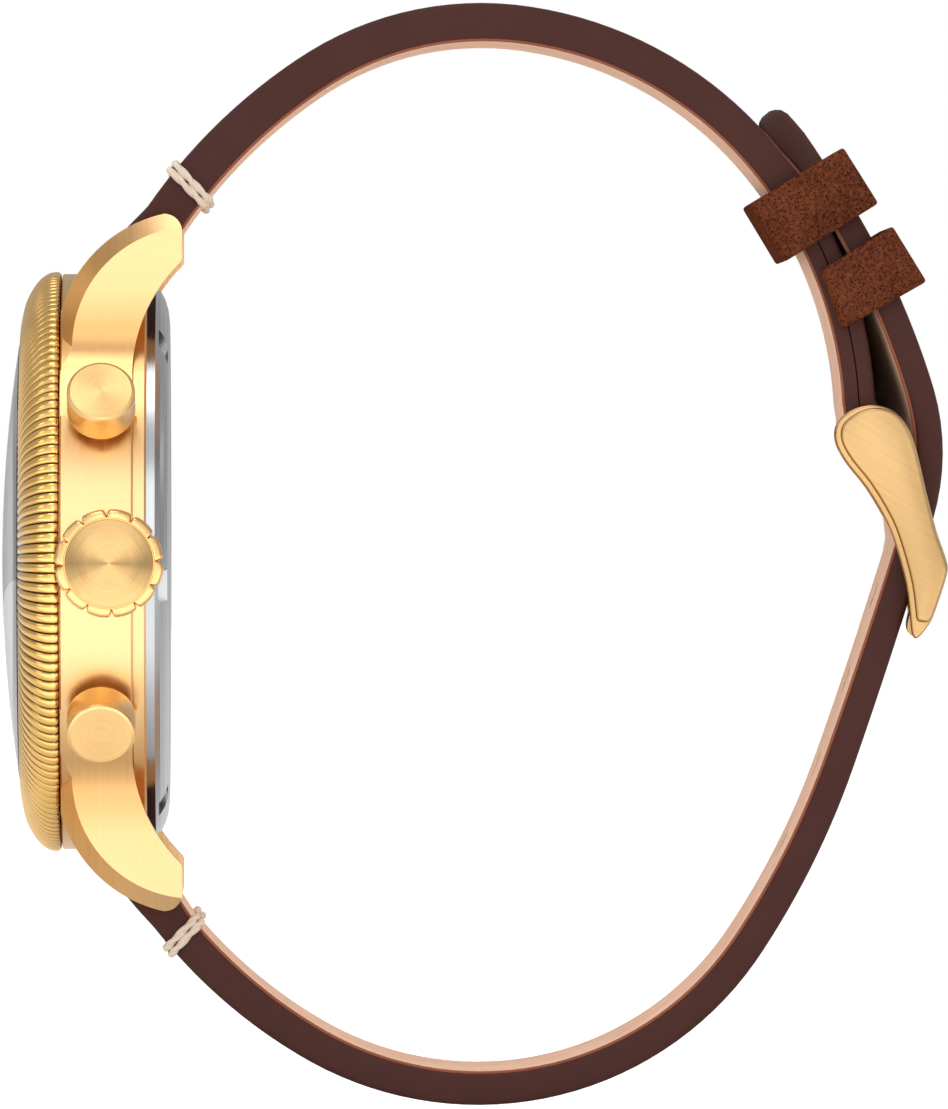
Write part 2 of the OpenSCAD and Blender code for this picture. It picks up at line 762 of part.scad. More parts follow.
// Slotted screws that hold the bridges to the rim
module movement_screws() {
  color(blued) stand() for (a = [52, 82, 128, 160, 192, 224, 275, 300]) {
    rotate([0, 0, a]) translate([plate_r - 0.7, 0, 0]) difference() {
      disc(0.55, bridge_z - 0.35, bridge_z);
      translate([-1, -0.09, bridge_z - 0.5]) cube([2, 0.18, 0.3]);
    }
  }
}

// Bearing stones in the bridges, one ring each
module jewels() {
  color(ruby) stand() {
    for (p = [third_at, fourth_at, escape_at, balance_at]) translate(p)
      tube(arbor_r + pivot_gap, jewel_r, bridge_z + 0.1, bridge_z + bridge_t);
    for (p = [recorder_at, centre]) translate(p)
      tube(chrono_arbor_r + pivot_gap, jewel_r, bridge_z + 0.1, bridge_z + bridge_t);
  }
}

// Flat spiral of the balance, drawn as short bars along the curve
module hairspring() {
  turns = 4;
  steps = 24;
  r0 = 0.55;
  pitch = 0.35;
  w = 0.05;
  z0 = train_z - 0.08;
  color(blued) stand() translate(concat(balance_at, z0)) linear_extrude(0.14) polygon(concat(
    [for (i = [0 : turns * steps]) let (a = i * full_turn / steps, r = r0 + pitch * i / steps)
      [(r - w) * cos(a), (r - w) * sin(a)]],
    [for (i = [turns * steps : -1 : 0]) let (a = i * full_turn / steps, r = r0 + pitch * i / steps)
      [(r + w) * cos(a), (r + w) * sin(a)]]));
}

// Points of one ring of a coil spring's wire
function coil_ring(a, r, wire, z, sides) = [
  for (k = [0 : sides - 1]) let (b = k * full_turn / sides)
    [(r + wire * cos(b)) * cos(a), (r + wire * cos(b)) * sin(a), z + wire * sin(b)]
];

// A coil spring from z0 to z1
module coil_spring(r, wire, z0, z1, turns) {
  sides = 6;
  steps = 10;
  n = turns * steps;
  points = [for (i = [0 : n], p = coil_ring(i * full_turn / steps, r, wire, z0 + (z1 - z0) * i / n, sides)) p];
  faces = concat([[for (k = [0 : sides - 1]) k]],
    [for (i = [0 : n - 1], k = [0 : sides - 1], f = [0, 1])
      let (a = i * sides + k, b = i * sides + (k + 1) % sides)
        f == 0 ? [a, a + sides, b] : [b, a + sides, b + sides]],
    [[for (k = [sides - 1 : -1 : 0]) n * sides + k]]);
  polyhedron(points, faces);
}

module pusher_springs() {
  color(steel) stand() for (s = [-1, 1]) at_pusher(s)
    coil_spring((rod_r + well_r) / 2, spring_wire, well_s + spring_wire + 0.02,
      cap_s0 + 1.4 - spring_wire - 0.04, spring_turns);
}

// ---------------------------------------------------------------- movement: moving pieces

module barrel() {
  color(brass) stand() translate(barrel_at) difference() {
    union() {
      wheel(72, barrel_r, barrel_z + 0.7, 0.45, 0);
      disc(barrel_r - 0.4, barrel_z, barrel_z + 1.15);
    }
    disc(0.6 + running_gap, 0, 12);
    tube(1.2, barrel_r - 0.8, barrel_z + 0.2, barrel_z + 0.95);
  }
}

// Ratchet wheel with the barrel's arbor
module ratchet_wheel() {
  color(steel) stand() translate(barrel_at) {
    wheel(40, ratchet_r, ratchet_z, 0.4, 0);
    disc(0.6, ratchet_z - 0.2, plate_z + 0.8);
  }
}

module crown_wheel() {
  color(steel) stand() translate(crown_wheel_at) {
    wheel(26, crown_wheel_r, ratchet_z, 0.4, 0);
    disc(0.9, ratchet_z - 0.15, bridge_z - 0.02);
  }
}

module centre_wheel() {
  color(brass) stand() difference() {
    union() {
      wheel(80, centre_wheel_r, train_z, wheel_t);
      wheel(14, centre_pinion_r, barrel_z, 1.1, 0, 0.25);
      disc(centre_tube[1], bridge_z + bridge_t + 0.02, minute_z + 0.25);
    }
    disc(centre_tube[0], 0, 12);
  }
}

module cannon_pinion() {
  color(steel) stand() difference() {
    union() {
      wheel(12, cannon_r, motion_z, 0.28, 0, 0.1);
      disc(cannon_tube[1], motion_z, minute_z + hand_t);
    }
    disc(cannon_tube[0], 0, 12);
  }
}

module hour_wheel() {
  color(brass) stand() difference() {
    union() {
      wheel(48, hour_wheel_r, motion_z + 0.36, 0.2, 4);
      disc(hour_tube[1], motion_z + 0.36, hour_z + hand_t);
    }
    disc(hour_tube[0], 0, 12);
  }
}

module minute_wheel() {
  color(brass) stand() translate(minute_at) difference() {
    union() {
      wheel(36, minute_wheel_r, motion_z, 0.26, 4);
      wheel(12, minute_pinion_r, motion_z + 0.26, 0.36, 0, 0.1);
    }
    disc(post_r + running_gap, 0, 12);
  }
}

module third_wheel() {
  color(brass) stand() translate(third_at) {
    wheel(75, third_r, upper_z, 0.2);
    wheel(10, third_pinion_r, train_z - 0.05, 0.4, 0, 0.15);
    disc(arbor_r, bridge_z + 0.05, plate_z + 0.6);
  }
}

module fourth_wheel() {
  color(brass) stand() translate(fourth_at) {
    wheel(60, fourth_r, train_z, wheel_t);
    wheel(10, fourth_pinion_r, upper_z - 0.15, 0.5, 0, 0.12);
    disc(arbor_r, bridge_z + 0.05, small_z + hand_t);
  }
}

module escape_wheel() {
  color(steel) stand() translate(escape_at) {
    translate([0, 0, upper_z]) linear_extrude(0.2) difference() {
      polygon([for (i = [0 : 14], c = [[0, 1.4], [0.15, escape_r], [0.3, escape_r], [0.5, 1.35]])
        let (a = 24 * (i + c[0])) c[1] * [cos(a), sin(a)]]);
      for (i = [0 : 3]) rotate(i * 90) translate([0.85, 0]) circle(r = 0.3, $fn = 24);
    }
    wheel(6, escape_pinion_r, train_z - 0.05, 0.35, 0, 0.12);
    disc(arbor_r, bridge_z + 0.05, plate_z + 0.6);
  }
}

// Pallet fork: a lever towards the balance and two arms round the escape wheel
module pallet_fork() {
  to_balance = atan2(balance_at[1] - fork_at[1], balance_at[0] - fork_at[0]);
  color(steel) stand() translate(fork_at) {
    translate([0, 0, upper_z]) linear_extrude(0.2) rotate(to_balance) {
      bar2d([0, 0], [2.2, 0], 0.16);
      bar2d([-0.25, -1.5], [-0.25, 1.5], 0.18);
      translate([2.0, -0.45]) square([0.35, 0.9]);
    }
    disc(arbor_r, upper_z - 0.05, plate_z + 0.6);
  }
}

module balance_wheel() {
  color(brass) stand() translate(balance_at) {
    tube(balance_r - 0.55, balance_r, train_z + 0.2, train_z + 0.5);
    for (a = [0, 60, 120]) rotate([0, 0, a])
      translate([-balance_r + 0.3, -0.2, train_z + 0.25]) cube([2 * balance_r - 0.6, 0.4, 0.15]);
    disc(0.8, train_z + 0.56, train_z + 0.7);
    disc(0.3, train_z + 0.1, train_z + 0.6);
    disc(arbor_r, bridge_z + 0.05, plate_z + 0.6);
  }
}

module heart_cam() {
  translate([0, 0, heart_z]) linear_extrude(0.4) union() {
    translate([0.3, 0]) circle(r = 0.55, $fn = 32);
    translate([-0.1, 0.3]) circle(r = 0.5, $fn = 32);
    translate([-0.1, -0.3]) circle(r = 0.5, $fn = 32);
  }
}

module chrono_wheel() {
  color(brass) stand() union() {
    wheel(80, chrono_wheel_r, chrono_wheel_z, wheel_t);
    heart_cam();
    disc(0.5, heart_z, chrono_wheel_z);
    disc(chrono_arbor_r, back_floor + 0.2, chrono_z + hand_t);
  }
}

module minute_recorder_wheel() {
  color(brass) stand() translate(recorder_at) {
    wheel(60, recorder_r, chrono_wheel_z, wheel_t);
    heart_cam();
    disc(0.5, heart_z, chrono_wheel_z);
    disc(chrono_arbor_r, back_floor + 0.2, dial_z0 - 0.1);
    disc(arbor_r, dial_z0 - 0.2, small_z + hand_t);
  }
}

module column_wheel() {
  color(steel) stand() translate(column_at) difference() {
    union() {
      wheel(12, column_r, lever_z + 0.6, 0.3, 0, 0.25);
      for (i = [0 : 5]) rotate([0, 0, i * 60]) translate([0.75, -0.22, lever_z]) cube([0.45, 0.44, 0.7]);
      disc(post_r, lever_z, bridge_z - 0.02);
    }
    disc(0.15, 0, lever_z + 0.4);
  }
}

// A flat lever on its stud, with a tab that stands in the pusher's way
module lever(pivot, tip, head, head_r) {
  aim = atan2(tip[1], tip[0]);
  translate([0, 0, lever_z]) linear_extrude(lever_t) {
    bar2d(pivot, tip, 0.6);
    bar2d(pivot, head, head_r);
  }
  translate(concat(pivot, 0)) disc(post_r, lever_z, bridge_z - 0.02);
  rotate([0, 0, aim]) translate([norm(tip) - 0.45, -0.7, lever_z]) cube([0.6, 1.4, tab_z1 - lever_z]);
}

module operating_lever() {
  color(steel) stand() lever(lever_at, lever_tip, [6.3, 12.2], 0.5);
}

module reset_hammer() {
  color(steel) stand() lever(hammer_at, hammer_tip, [3.7, 1.8], 0.6);
}

// ---------------------------------------------------------------- crown and pushers

module winding_stem() {
  color(steel) stand() at_crown() union() {
    disc(stem_r, stem_x0, crown_floor + 0.7);
    translate([0, 0, pinion_x]) linear_extrude(pinion_l) polygon(gear_points(12, pinion_r, 0.2));
  }
}

module crown() {
  color(gold) stand() at_crown() difference() {
    intersection() {
      translate([0, 0, crown_x0]) linear_extrude(crown_l) difference() {
        circle(r = crown_d / 2, $fn = 120);
        for (i = [0 : crown_lobes - 1]) rotate(3 + i * full_turn / crown_lobes)
          translate([crown_d / 2 + 0.25, 0]) circle(r = 0.62, $fn = 24);
      }
      rotate_extrude() polygon([[0, crown_x0], [crown_d / 2 - 0.35, crown_x0], [crown_d / 2, crown_x0 + 0.35],
        [crown_d / 2, crown_x1 - 0.45], [crown_d / 2 - 0.2, crown_x1 - 0.17], [crown_d / 2 - 0.5, crown_x1],
        [0, crown_x1]]);
    }
    disc(tube_r + 2 * running_gap, crown_x0 - 1, crown_floor);
    disc(tube_r + oring_t + 0.02, oring_x - oring_t / 2 - 0.02, oring_x + oring_t / 2 + 0.02);
    disc(stem_r, crown_x0, crown_floor + 0.7);
    tube(crown_d / 2 - 0.85, crown_d / 2 - 0.75, crown_x1 - 0.06, crown_x1 + 1);
  }
}

module crown_gasket() {
  color(rubber) stand() at_crown() translate([0, 0, oring_x]) rotate_extrude()
    translate([tube_r + 0.01 + oring_t / 2, 0]) circle(r = oring_t / 2 - 0.01, $fn = 32);
}

// Pusher: cap with a well for the spring, rod and retaining collar
module pusher() {
  difference() {
    rotate_extrude() polygon([[0, cap_s0], [cap_r - 0.2, cap_s0], [cap_r, cap_s0 + 0.2],
      [cap_r, cap_s1 - 0.25], [cap_r - 0.08, cap_s1 - 0.08], [cap_r - 0.25, cap_s1], [0, cap_s1]]);
    disc(tube_r + 2 * running_gap, cap_s0 - 1, cap_s0 + 1.4);
  }
  disc(rod_r, rod_s0, cap_s0 + 1.5);
  disc(collar_r, collar_s, collar_s + 0.25);
}

module pusher_start() {
  color(gold) stand() at_pusher(1) pusher();
}

module pusher_reset() {
  color(gold) stand() at_pusher(-1) pusher();
}

// ---------------------------------------------------------------- strap

// Trims a strap solid to its width, which narrows evenly towards the buckle
module strap_taper() {
  translate([0, 0, -60]) linear_extrude(120) polygon([[-strap_w_lug / 2, -6], [-strap_w_lug / 2, 0],
    [-strap_w_buckle / 2, 46], [-strap_w_buckle / 2, 70], [strap_w_buckle / 2, 70],
    [strap_w_buckle / 2, 46], [strap_w_lug / 2, 0], [strap_w_lug / 2, -6]]);
}

// Gives a strap's outline its width
module strap_width() {
  across(-strap_w_lug / 2, strap_w_lug / 2) children();
}

// Two points inside a loop, where a strap's outline ends; h tells which side comes first
function loop_ends(at, r, st, h) = [at + h * 0.9 * r * left(st), at - h * 0.9 * r * left(st)];

// Outline of the short strap's upper leather, from the lug's loop to the buckle's loop
function short_outline() = let (
    a = loop_ends(bar_at, lug_loop_r, short_line[0], 1),
    b = loop_ends(pin_at, pin_loop_r, short_end, 1)
  ) concat([a[0]], side(short_line, short_t0 / 2, short_t1 / 2), b,
    [short_end[0] - short_t1 / 2 * left(short_end)],
    reverse(side(short_line, lining_t - short_t0 / 2, lining_t - short_t1 / 2)),
    [short_line[0][0] - short_t0 / 2 * left(short_line[0]), a[1]]);

// Outline of the long strap's upper leather, from the lug's loop to the tip
function long_outline() = let (
    a = loop_ends([bar_at[0], -bar_at[1]], lug_loop_r, long_first, 1)
  ) concat([a[1]], side(long_line, -long_t0 / 2, -long_t1 / 2),
    reverse(side(long_line, long_t0 / 2 - lining_t, long_t1 / 2 - lining_t)),
    [long_first[0] + long_t0 / 2 * left(long_first), a[0]]);

// Rounds the long strap's tip, seen from its face
module tip_cut() {
  st = long_line[len(long_line) - 1];
  r = strap_w_buckle / 2;
  translate([0, st[0][0], st[0][1]]) rotate([st[1], 0, 0]) translate([0, 0, -4]) linear_extrude(8) difference() {
    translate([-2 * r, -r]) square([4 * r, 2 * r]);
    translate([0, -r]) circle(r = r);
  }
}

// A round hole through the long strap at length s of its centre line
module strap_hole(s, r) {
  st = at_length(long_start, long_heading, long_arcs, s);
  translate([0, st[0][0], st[0][1]]) rotate([st[1], 0, 0]) cylinder(r = r, h = 8, center = true, $fn = 32);
}

// The tongue's slot through the strap
module tongue_slot(extra) {
  translate([0, pin_at[0], pin_at[1]]) rotate([tongue_a, 0, 0])
    translate([-tongue_w / 2 - extra, 1, -tongue_t / 2 - extra])
      cube([tongue_w + 2 * extra, tongue_l - 1 + extra, tongue_t + 2 * extra]);
}

module tongue_way() {
  tongue_slot(0.15);
  translate([0, pin_at[0], pin_at[1]]) rotate([tongue_lift, 0, 0]) translate([0, -pin_at[0], -pin_at[1]])
    tongue_slot(0.15);
}

module strap_short() {
  color(dark_brown) difference() {
    intersection() {
      union() {
        strap_width() polygon(short_outline());
        strap_width() translate(bar_at) circle(r = lug_loop_r);
        strap_width() translate(pin_at) circle(r = pin_loop_r);
      }
      strap_taper();
    }
    across(-bore_reach, bore_reach) translate(bar_at) circle(r = bar_r + fit_gap);
    across(-bore_reach, bore_reach) translate(pin_at) circle(r = pin_r + fit_gap);
    translate([-tongue_w / 2 - tongue_room, pin_at[0] - slot_back, pin_at[1] - slot_reach[0]])
      cube([tongue_w + 2 * tongue_room, 12, slot_reach[0] + slot_reach[1]]);
    keeper_room();
  }
}

module strap_short_lining() {
  color(tan_leather) difference() {
    intersection() {
      strap_width()
        polygon(band(short_line, lining_t - short_t0 / 2, lining_t - short_t1 / 2, -short_t0 / 2, -short_t1 / 2));
      strap_taper();
    }
    keeper_room();
  }
}

// What passes through the long strap: the tongue and the adjusting holes
module long_openings() {
  tongue_way();
  for (k = [-4, -3, -2, -1, 1]) strap_hole(tongue_hole_s + k * hole_pitch, hole_d / 2);
  tip_cut();
}

module strap_long() {
  color(dark_brown) difference() {
    intersection() {
      union() {
        strap_width() polygon(long_outline());
        strap_width() translate([bar_at[0], -bar_at[1]]) circle(r = lug_loop_r);
      }
      strap_taper();
    }
    across(-bore_reach, bore_reach) translate([bar_at[0], -bar_at[1]]) circle(r = bar_r + fit_gap);
    long_openings();
  }
}

module strap_long_lining() {
  color(tan_leather) difference() {
    intersection() {
      strap_width()
        polygon(band(long_line, long_t0 / 2 - lining_t, long_t1 / 2 - lining_t, long_t0 / 2, long_t1 / 2));
      strap_taper();
    }
    long_openings();
  }
}

// A closed leather loop round both straps, drawn along its strap direction
module keeper_loop(w_in, h_in, t) {
  r = 0.9;
  difference() {
    rounded(w_in + 2 * t, h_in + 2 * t, r + 0.4);
    rounded(w_in, h_in, r);
  }
}

module rounded(w, h, r) {
  square([w - 2 * r, h], center = true);
  square([w, h - 2 * r], center = true);
  for (x = [-1, 1], y = [-1, 1]) translate([x * (w / 2 - r), y * (h / 2 - r)]) circle(r = r, $fn = 32);
}

module keeper(at, tilt, h_in, w_in, t, w = keeper_w) {
  translate([0, at[0], at[1]]) rotate([tilt, 0, 0])
    translate([0, 0, -w / 2]) linear_extrude(w) keeper_loop(w_in, h_in, t);
}

// The slot in the short strap's fold that takes the fixed keeper
module keeper_room() {
  keeper(fixed_at, fixed_tilt, fixed_in - 2 * fit_gap, free_inner_w, keeper_t + 2 * fit_gap, keeper_w + 2 * fit_gap);
}

module free_keeper() {
  color(brown_leather) keeper(free_at, free_tilt, free_in, free_inner_w, keeper_t);
}

module fixed_keeper() {
  color(brown_leather) keeper(fixed_at, fixed_tilt, fixed_in, free_inner_w, keeper_t);
}

// Thread wrapped round the strap's edges near the lugs
module edge_stitches() {
  color(thread) for (m = [0, 1], x = [-1, 1]) {
    stitch(m == 0 ? short_chain : long_chain, stitch_s[m], m == 0 ? short_t0 : long_t0, x);
  }
}

// One thread round the edge at length s of a strap of thickness t; x tells which edge
module stitch(c, s, t, x) {
  st = at_length(c[0], c[1], c[2], s);
  translate([0, st[0][0], st[0][1]]) rotate([st[1], 0, 0]) mirror([x > 0 ? 0 : 1, 0, 0])
    translate([strap_w_lug / 2 - stitch_l, -stitch_w / 2, 0]) difference() {
      translate([0, 0, -t / 2 - stitch_t]) cube([stitch_l + stitch_t, stitch_w, t + 2 * stitch_t]);
      translate([-1, -1, -t / 2 - stitch_gap]) cube([stitch_l + 1, stitch_w + 2, t + 2 * stitch_gap]);
    }
}

// ---------------------------------------------------------------- buckle

module buckle_spring_bar() {
  color(steel) union() {
    across(-ear_x0 + 0.1, ear_x0 - 0.1) translate(pin_at) circle(r = pin_r, $fn = 48);
    across(-ear_x0 - bar_tip_l, ear_x0 + bar_tip_l) translate(pin_at) circle(r = bar_tip_r, $fn = 48);
  }
}

module buckle_frame() {
  color(gold) difference() {
    union() {
      for (x = [-1, 1]) across(x > 0 ? ear_x0 : -ear_x1, x > 0 ? ear_x1 : -ear_x0) {
        polygon(ear_outline);
        translate(pin_at) circle(r = ear_head_r, $fn = 64);
      }
      across(-ear_x1, ear_x1) polygon(bar_outline);
    }
    tongue_slot(0.1);
    across(-ear_x0 - bar_tip_l - fit_gap, ear_x0 + bar_tip_l + fit_gap) translate(pin_at)
      circle(r = bar_hole_r, $fn = 48);
  }
}

module buckle_tongue() {
  color(gold) difference() {
    union() {
      tongue_slot(0);
      across(-tongue_w / 2, tongue_w / 2) translate(pin_at) circle(r = pin_r + 0.7, $fn = 48);
    }
    across(-bore_reach, bore_reach) translate(pin_at) circle(r = pin_r + running_gap, $fn = 48);
  }
}

// ---------------------------------------------------------------- nodes

case_middle();
bezel();
crystal();
crystal_gasket();
flange_ring();
case_back();
case_back_gasket();
crown_tube();
pusher_tubes();
lug_spring_bars();
dial();
hour_markers();
movement_ring();
main_plate();
barrel_bridge();
train_bridge();
chrono_bridge();
balance_cock();
movement_screws();
jewels();
hairspring();
pusher_springs();
barrel();
ratchet_wheel();
crown_wheel();
centre_wheel();
cannon_pinion();
minute_hand();
hour_wheel();
hour_hand();
minute_wheel();
third_wheel();
fourth_wheel();
running_seconds_hand();
escape_wheel();
pallet_fork();
balance_wheel();
chrono_wheel();
chrono_seconds_hand();
minute_recorder_wheel();
minute_counter_hand();
column_wheel();
operating_lever();
reset_hammer();
crown();
crown_gasket();
winding_stem();
pusher_start();
pusher_reset();
strap_short();
strap_short_lining();
strap_long();
strap_long_lining();
fixed_keeper();
free_keeper();
edge_stitches();
buckle_spring_bar();
buckle_frame();
buckle_tongue();
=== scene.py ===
"""Looks of a gold chronograph wristwatch on a buckled leather strap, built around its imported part.

Everything is in metres in the part's own frame: the dial faces -Y, 12 o'clock is +Z and the crown +X.
Sizes in the classes are in millimetres and are brought to metres when a mesh is placed.
"""

import logging
import math
from dataclasses import dataclass, field, replace
from enum import Enum
from typing import Optional, Sequence

import bmesh
import bpy
import numpy as np
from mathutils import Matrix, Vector

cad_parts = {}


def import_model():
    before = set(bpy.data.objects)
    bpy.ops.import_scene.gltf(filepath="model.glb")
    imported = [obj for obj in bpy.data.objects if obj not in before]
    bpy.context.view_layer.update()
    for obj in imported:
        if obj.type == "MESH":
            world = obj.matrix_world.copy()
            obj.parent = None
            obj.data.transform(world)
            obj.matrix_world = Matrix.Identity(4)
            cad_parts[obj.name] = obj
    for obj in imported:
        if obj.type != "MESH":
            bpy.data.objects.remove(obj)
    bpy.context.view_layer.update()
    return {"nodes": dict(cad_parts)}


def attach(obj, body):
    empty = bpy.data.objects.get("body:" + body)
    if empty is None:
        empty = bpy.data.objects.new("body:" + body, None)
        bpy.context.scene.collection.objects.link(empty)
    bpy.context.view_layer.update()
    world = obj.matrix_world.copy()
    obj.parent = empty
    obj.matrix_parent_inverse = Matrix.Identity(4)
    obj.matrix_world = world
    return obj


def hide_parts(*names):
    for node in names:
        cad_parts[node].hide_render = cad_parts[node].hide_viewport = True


LOG = logging.getLogger("wristwatch")
MM = 0.001
Colour = tuple[float, float, float]
Point2 = tuple[float, float]
Point3 = tuple[float, float, float]
Piece = bpy.types.Object
Socket = bpy.types.NodeSocket
BLACK: Colour = (0.0, 0.0, 0.0)
WHITE: Colour = (1.0, 1.0, 1.0)


# ------------------------------------------------------------------ finishes


class Tree:
    """A node tree, built by hand."""

    def __init__(self, owner: bpy.types.ID) -> None:
        """Opens the tree of a new material or world.

        Args:
            owner: the material or world.
        """
        owner.use_nodes = True
        self.owner = owner
        self.nodes, self.links = owner.node_tree.nodes, owner.node_tree.links
        self.shader = self.nodes.get("Principled BSDF") or self.nodes["Background"]
        self._place: Optional[Socket] = None

    def add(self, kind: str, inputs: Optional[dict] = None, **settings: object) -> bpy.types.Node:
        """Adds one node.

        Args:
            kind: the node's type, without its ShaderNode prefix.
            inputs: values or sockets for its inputs, by name or number.
            **settings: the node's own options.

        Returns:
            The new node.
        """
        node = self.nodes.new("ShaderNode" + kind)
        for key, value in settings.items():
            setattr(node, key, value)
        for key, value in (inputs or {}).items():
            if isinstance(value, Socket):
                self.links.new(value, node.inputs[key])
            else:
                node.inputs[key].default_value = value
        return node

    def place(self) -> Socket:
        """Returns the object coordinates.

        Returns:
            The coordinates' socket.
        """
        if self._place is None:
            self._place = self.add("TexCoord").outputs["Object"]
        return self._place

    def mapped(self, scale: Point3, turn: Point3 = (0, 0, 0)) -> Socket:
        """Returns object coordinates turned and then scaled along each axis.

        Args:
            scale: factors along x, y and z, per metre.
            turn: turn about x, y and z in degrees, made before the scaling.

        Returns:
            The coordinates' socket.
        """
        radians = [math.radians(a) for a in turn]
        turned = self.add("Mapping", {"Vector": self.place(), "Rotation": radians}).outputs[0]
        return self.add("Mapping", {"Vector": turned, "Scale": scale}).outputs[0]

    def math(self, operation: str, a: object, b: object = 0.0) -> Socket:
        """Returns the result of one sum on two values or sockets."""
        return self.add("Math", {0: a, 1: b}, operation=operation).outputs[0]

    def scaled(self, value: object, factor: float, offset: object = 0.0) -> Socket:
        """Returns a value times a factor, plus an offset."""
        return self.add("Math", {0: value, 1: factor, 2: offset}, operation="MULTIPLY_ADD").outputs[0]

    def blend(self, a: object, part_a: float, b: object, part_b: float) -> Socket:
        """Returns the sum of two values, each times its part."""
        return self.scaled(a, part_a, self.scaled(b, part_b))

    def vector(
        self, operation: str, a: object, b: object = (0, 0, 0), scale: object = 1.0, out: str = "Vector"
    ) -> Socket:
        """Returns the result of one operation on vectors.

        Args:
            operation: the operation's name.
            a: first vector or socket.
            b: second vector or socket.
            scale: the factor that only SCALE takes.
            out: name of the result's socket.
        """
        return self.add("VectorMath", {0: a, 1: b, 3: scale}, operation=operation).outputs[out]

    def apart(self, vector: Socket) -> Sequence[Socket]:
        """Returns x, y and z of a vector."""
        return self.add("SeparateXYZ", {0: vector}).outputs

    def joined(self, x: object, y: object, z: object = 0.0) -> Socket:
        """Returns the vector of three values."""
        return self.add("CombineXYZ", {0: x, 1: y, 2: z}).outputs[0]

    def noise(self, vector: object, scale: float, detail: float = 2.0, rough: float = 0.5) -> Socket:
        """Returns a noise value from 0 to 1.

        Args:
            vector: the coordinates' socket.
            scale: the noise's scale.
            detail: how many finer layers it has.
            rough: how strong the finer layers are.
        """
        made = self.add("TexNoise", {"Vector": vector, "Scale": scale, "Detail": detail, "Roughness": rough})
        return made.outputs["Fac"]

    def ramp(self, value: object, stops: Sequence[tuple[float, Colour]]) -> Socket:
        """Returns a colour picked along a ramp.

        Args:
            value: the socket that picks.
            stops: places from 0 to 1 with their colours.

        Returns:
            The colour's socket.
        """
        node = self.add("ValToRGB", {"Fac": value})
        band = node.color_ramp.elements
        while len(band) < len(stops):
            band.new(0.5)
        for stop, (where, colour) in zip(band, stops):
            stop.position = where
            stop.color = (*colour, 1.0)
        return node.outputs["Color"]

    def tones(self, value: object, colour: Colour, dark: float, light: float, ends: Point2 = (0.3, 0.7)) -> Socket:
        """Returns tones of one colour, picked by a value.

        Args:
            value: the socket that picks.
            colour: the colour.
            dark: its factor at the low end.
            light: its factor at the high end.
            ends: the values at both ends.
        """
        return self.ramp(value, [(ends[0], shade(colour, dark)), (ends[1], shade(colour, light))])

    def mix(self, factor: object, a: object, b: object, **settings: object) -> Socket:
        """Returns a mix of two colours."""
        return self.add("Mix", {0: factor, 6: a, 7: b}, data_type="RGBA", **settings).outputs[2]

    def times(self, a: Socket, b: Socket) -> Socket:
        """Returns the product of two colours."""
        return self.mix(1.0, a, b, blend_type="MULTIPLY")

    def bump(self, height: object, strength: float, distance: float) -> None:
        """Gives the shader a bump; the distance in metres is the height of a step from 0 to 1."""
        node = self.add("Bump", {"Height": height, "Strength": strength, "Distance": distance})
        self.links.new(node.outputs[0], self.shader.inputs["Normal"])

    def paint(self, colour: Socket) -> None:
        """Gives the shader its colour."""
        self.links.new(colour, self.shader.inputs["Base Color"])

    def gloss(self, value: Socket, spread: float, middle: float) -> None:
        """Gives the shader a roughness that a value varies about its middle."""
        self.links.new(self.scaled(value, spread, middle - spread / 2), self.shader.inputs["Roughness"])

    def fixed(self, **values: object) -> None:
        """Sets sockets of the shader that are the same all over; underscores stand for spaces."""
        for key, value in values.items():
            self.shader.inputs[key.replace("_", " ")].default_value = value


def shade(colour: Colour, factor: float) -> Colour:
    """Returns a colour made lighter or darker by a factor."""
    return tuple(min(1.0, c * factor) for c in colour)


@dataclass(frozen=True)
class Surface:
    """A named surface that builds its own material."""

    name: str
    colour: Colour

    def make(self) -> bpy.types.Material:
        """Returns the surface's new material.

        Returns:
            The material.
        """
        t = Tree(bpy.data.materials.new(self.name))
        self.lay(t)
        return t.owner

    def lay(self, t: Tree) -> None:
        """Lays the surface's nodes, as each kind does in its own way."""
        raise NotImplementedError


@dataclass(frozen=True)
class BrushedMetal(Surface):
    """Metal with straight brushing.

    Its painted shade bands darken it by the distance up or down from the crown's axis in millimetres, up to its reach;
    its shaded side is the direction whose faces take the painted shade tint.
    """

    scale: Point3
    turn: Point3 = (0, 0, 0)
    roughness: float = 0.3
    contrast: float = 0.10
    depth: float = 0.000012
    # painted shade: tints by height from the crown's axis that stand in for shade
    painted_shade_bands: tuple[tuple[float, Colour], ...] = ()
    reach: float = 30.0
    # painted shade: faces turned towards this side are darkened by the tint below
    shaded_side: Point3 = (0, -1, 0)
    painted_shade_tint: Colour = WHITE

    def lay(self, t: Tree) -> None:
        """Lays the nodes.

        Args:
            t: the new material's tree.
        """
        lines = t.noise(t.mapped(self.scale, self.turn), 1.0, 4.0, 0.65)
        clouds = t.noise(t.place(), 180.0)
        skin = t.tones(t.blend(lines, 0.8, clouds, 0.2), self.colour, 1 - self.contrast, 1.03, (0.25, 0.75))
        # painted shade, darker or lighter by height from the crown's axis
        if self.painted_shade_bands:
            away = t.math("ABSOLUTE", t.apart(t.place())[2])
            stops = [(z / self.reach, tint) for z, tint in self.painted_shade_bands]
            skin = t.times(skin, t.ramp(t.math("MULTIPLY", away, 1 / (self.reach * MM)), stops))
        # painted shade on faces turned towards the shaded side
        if min(self.painted_shade_tint) < 1:
            facing = t.vector("DOT_PRODUCT", t.add("TexCoord").outputs["Normal"], self.shaded_side, out="Value")
            skin = t.times(skin, t.ramp(facing, [(0.2, WHITE), (0.6, self.painted_shade_tint)]))
        t.paint(skin)
        t.gloss(lines, 0.16, self.roughness)
        t.bump(lines, 0.35, self.depth)
        t.fixed(Metallic=1.0)


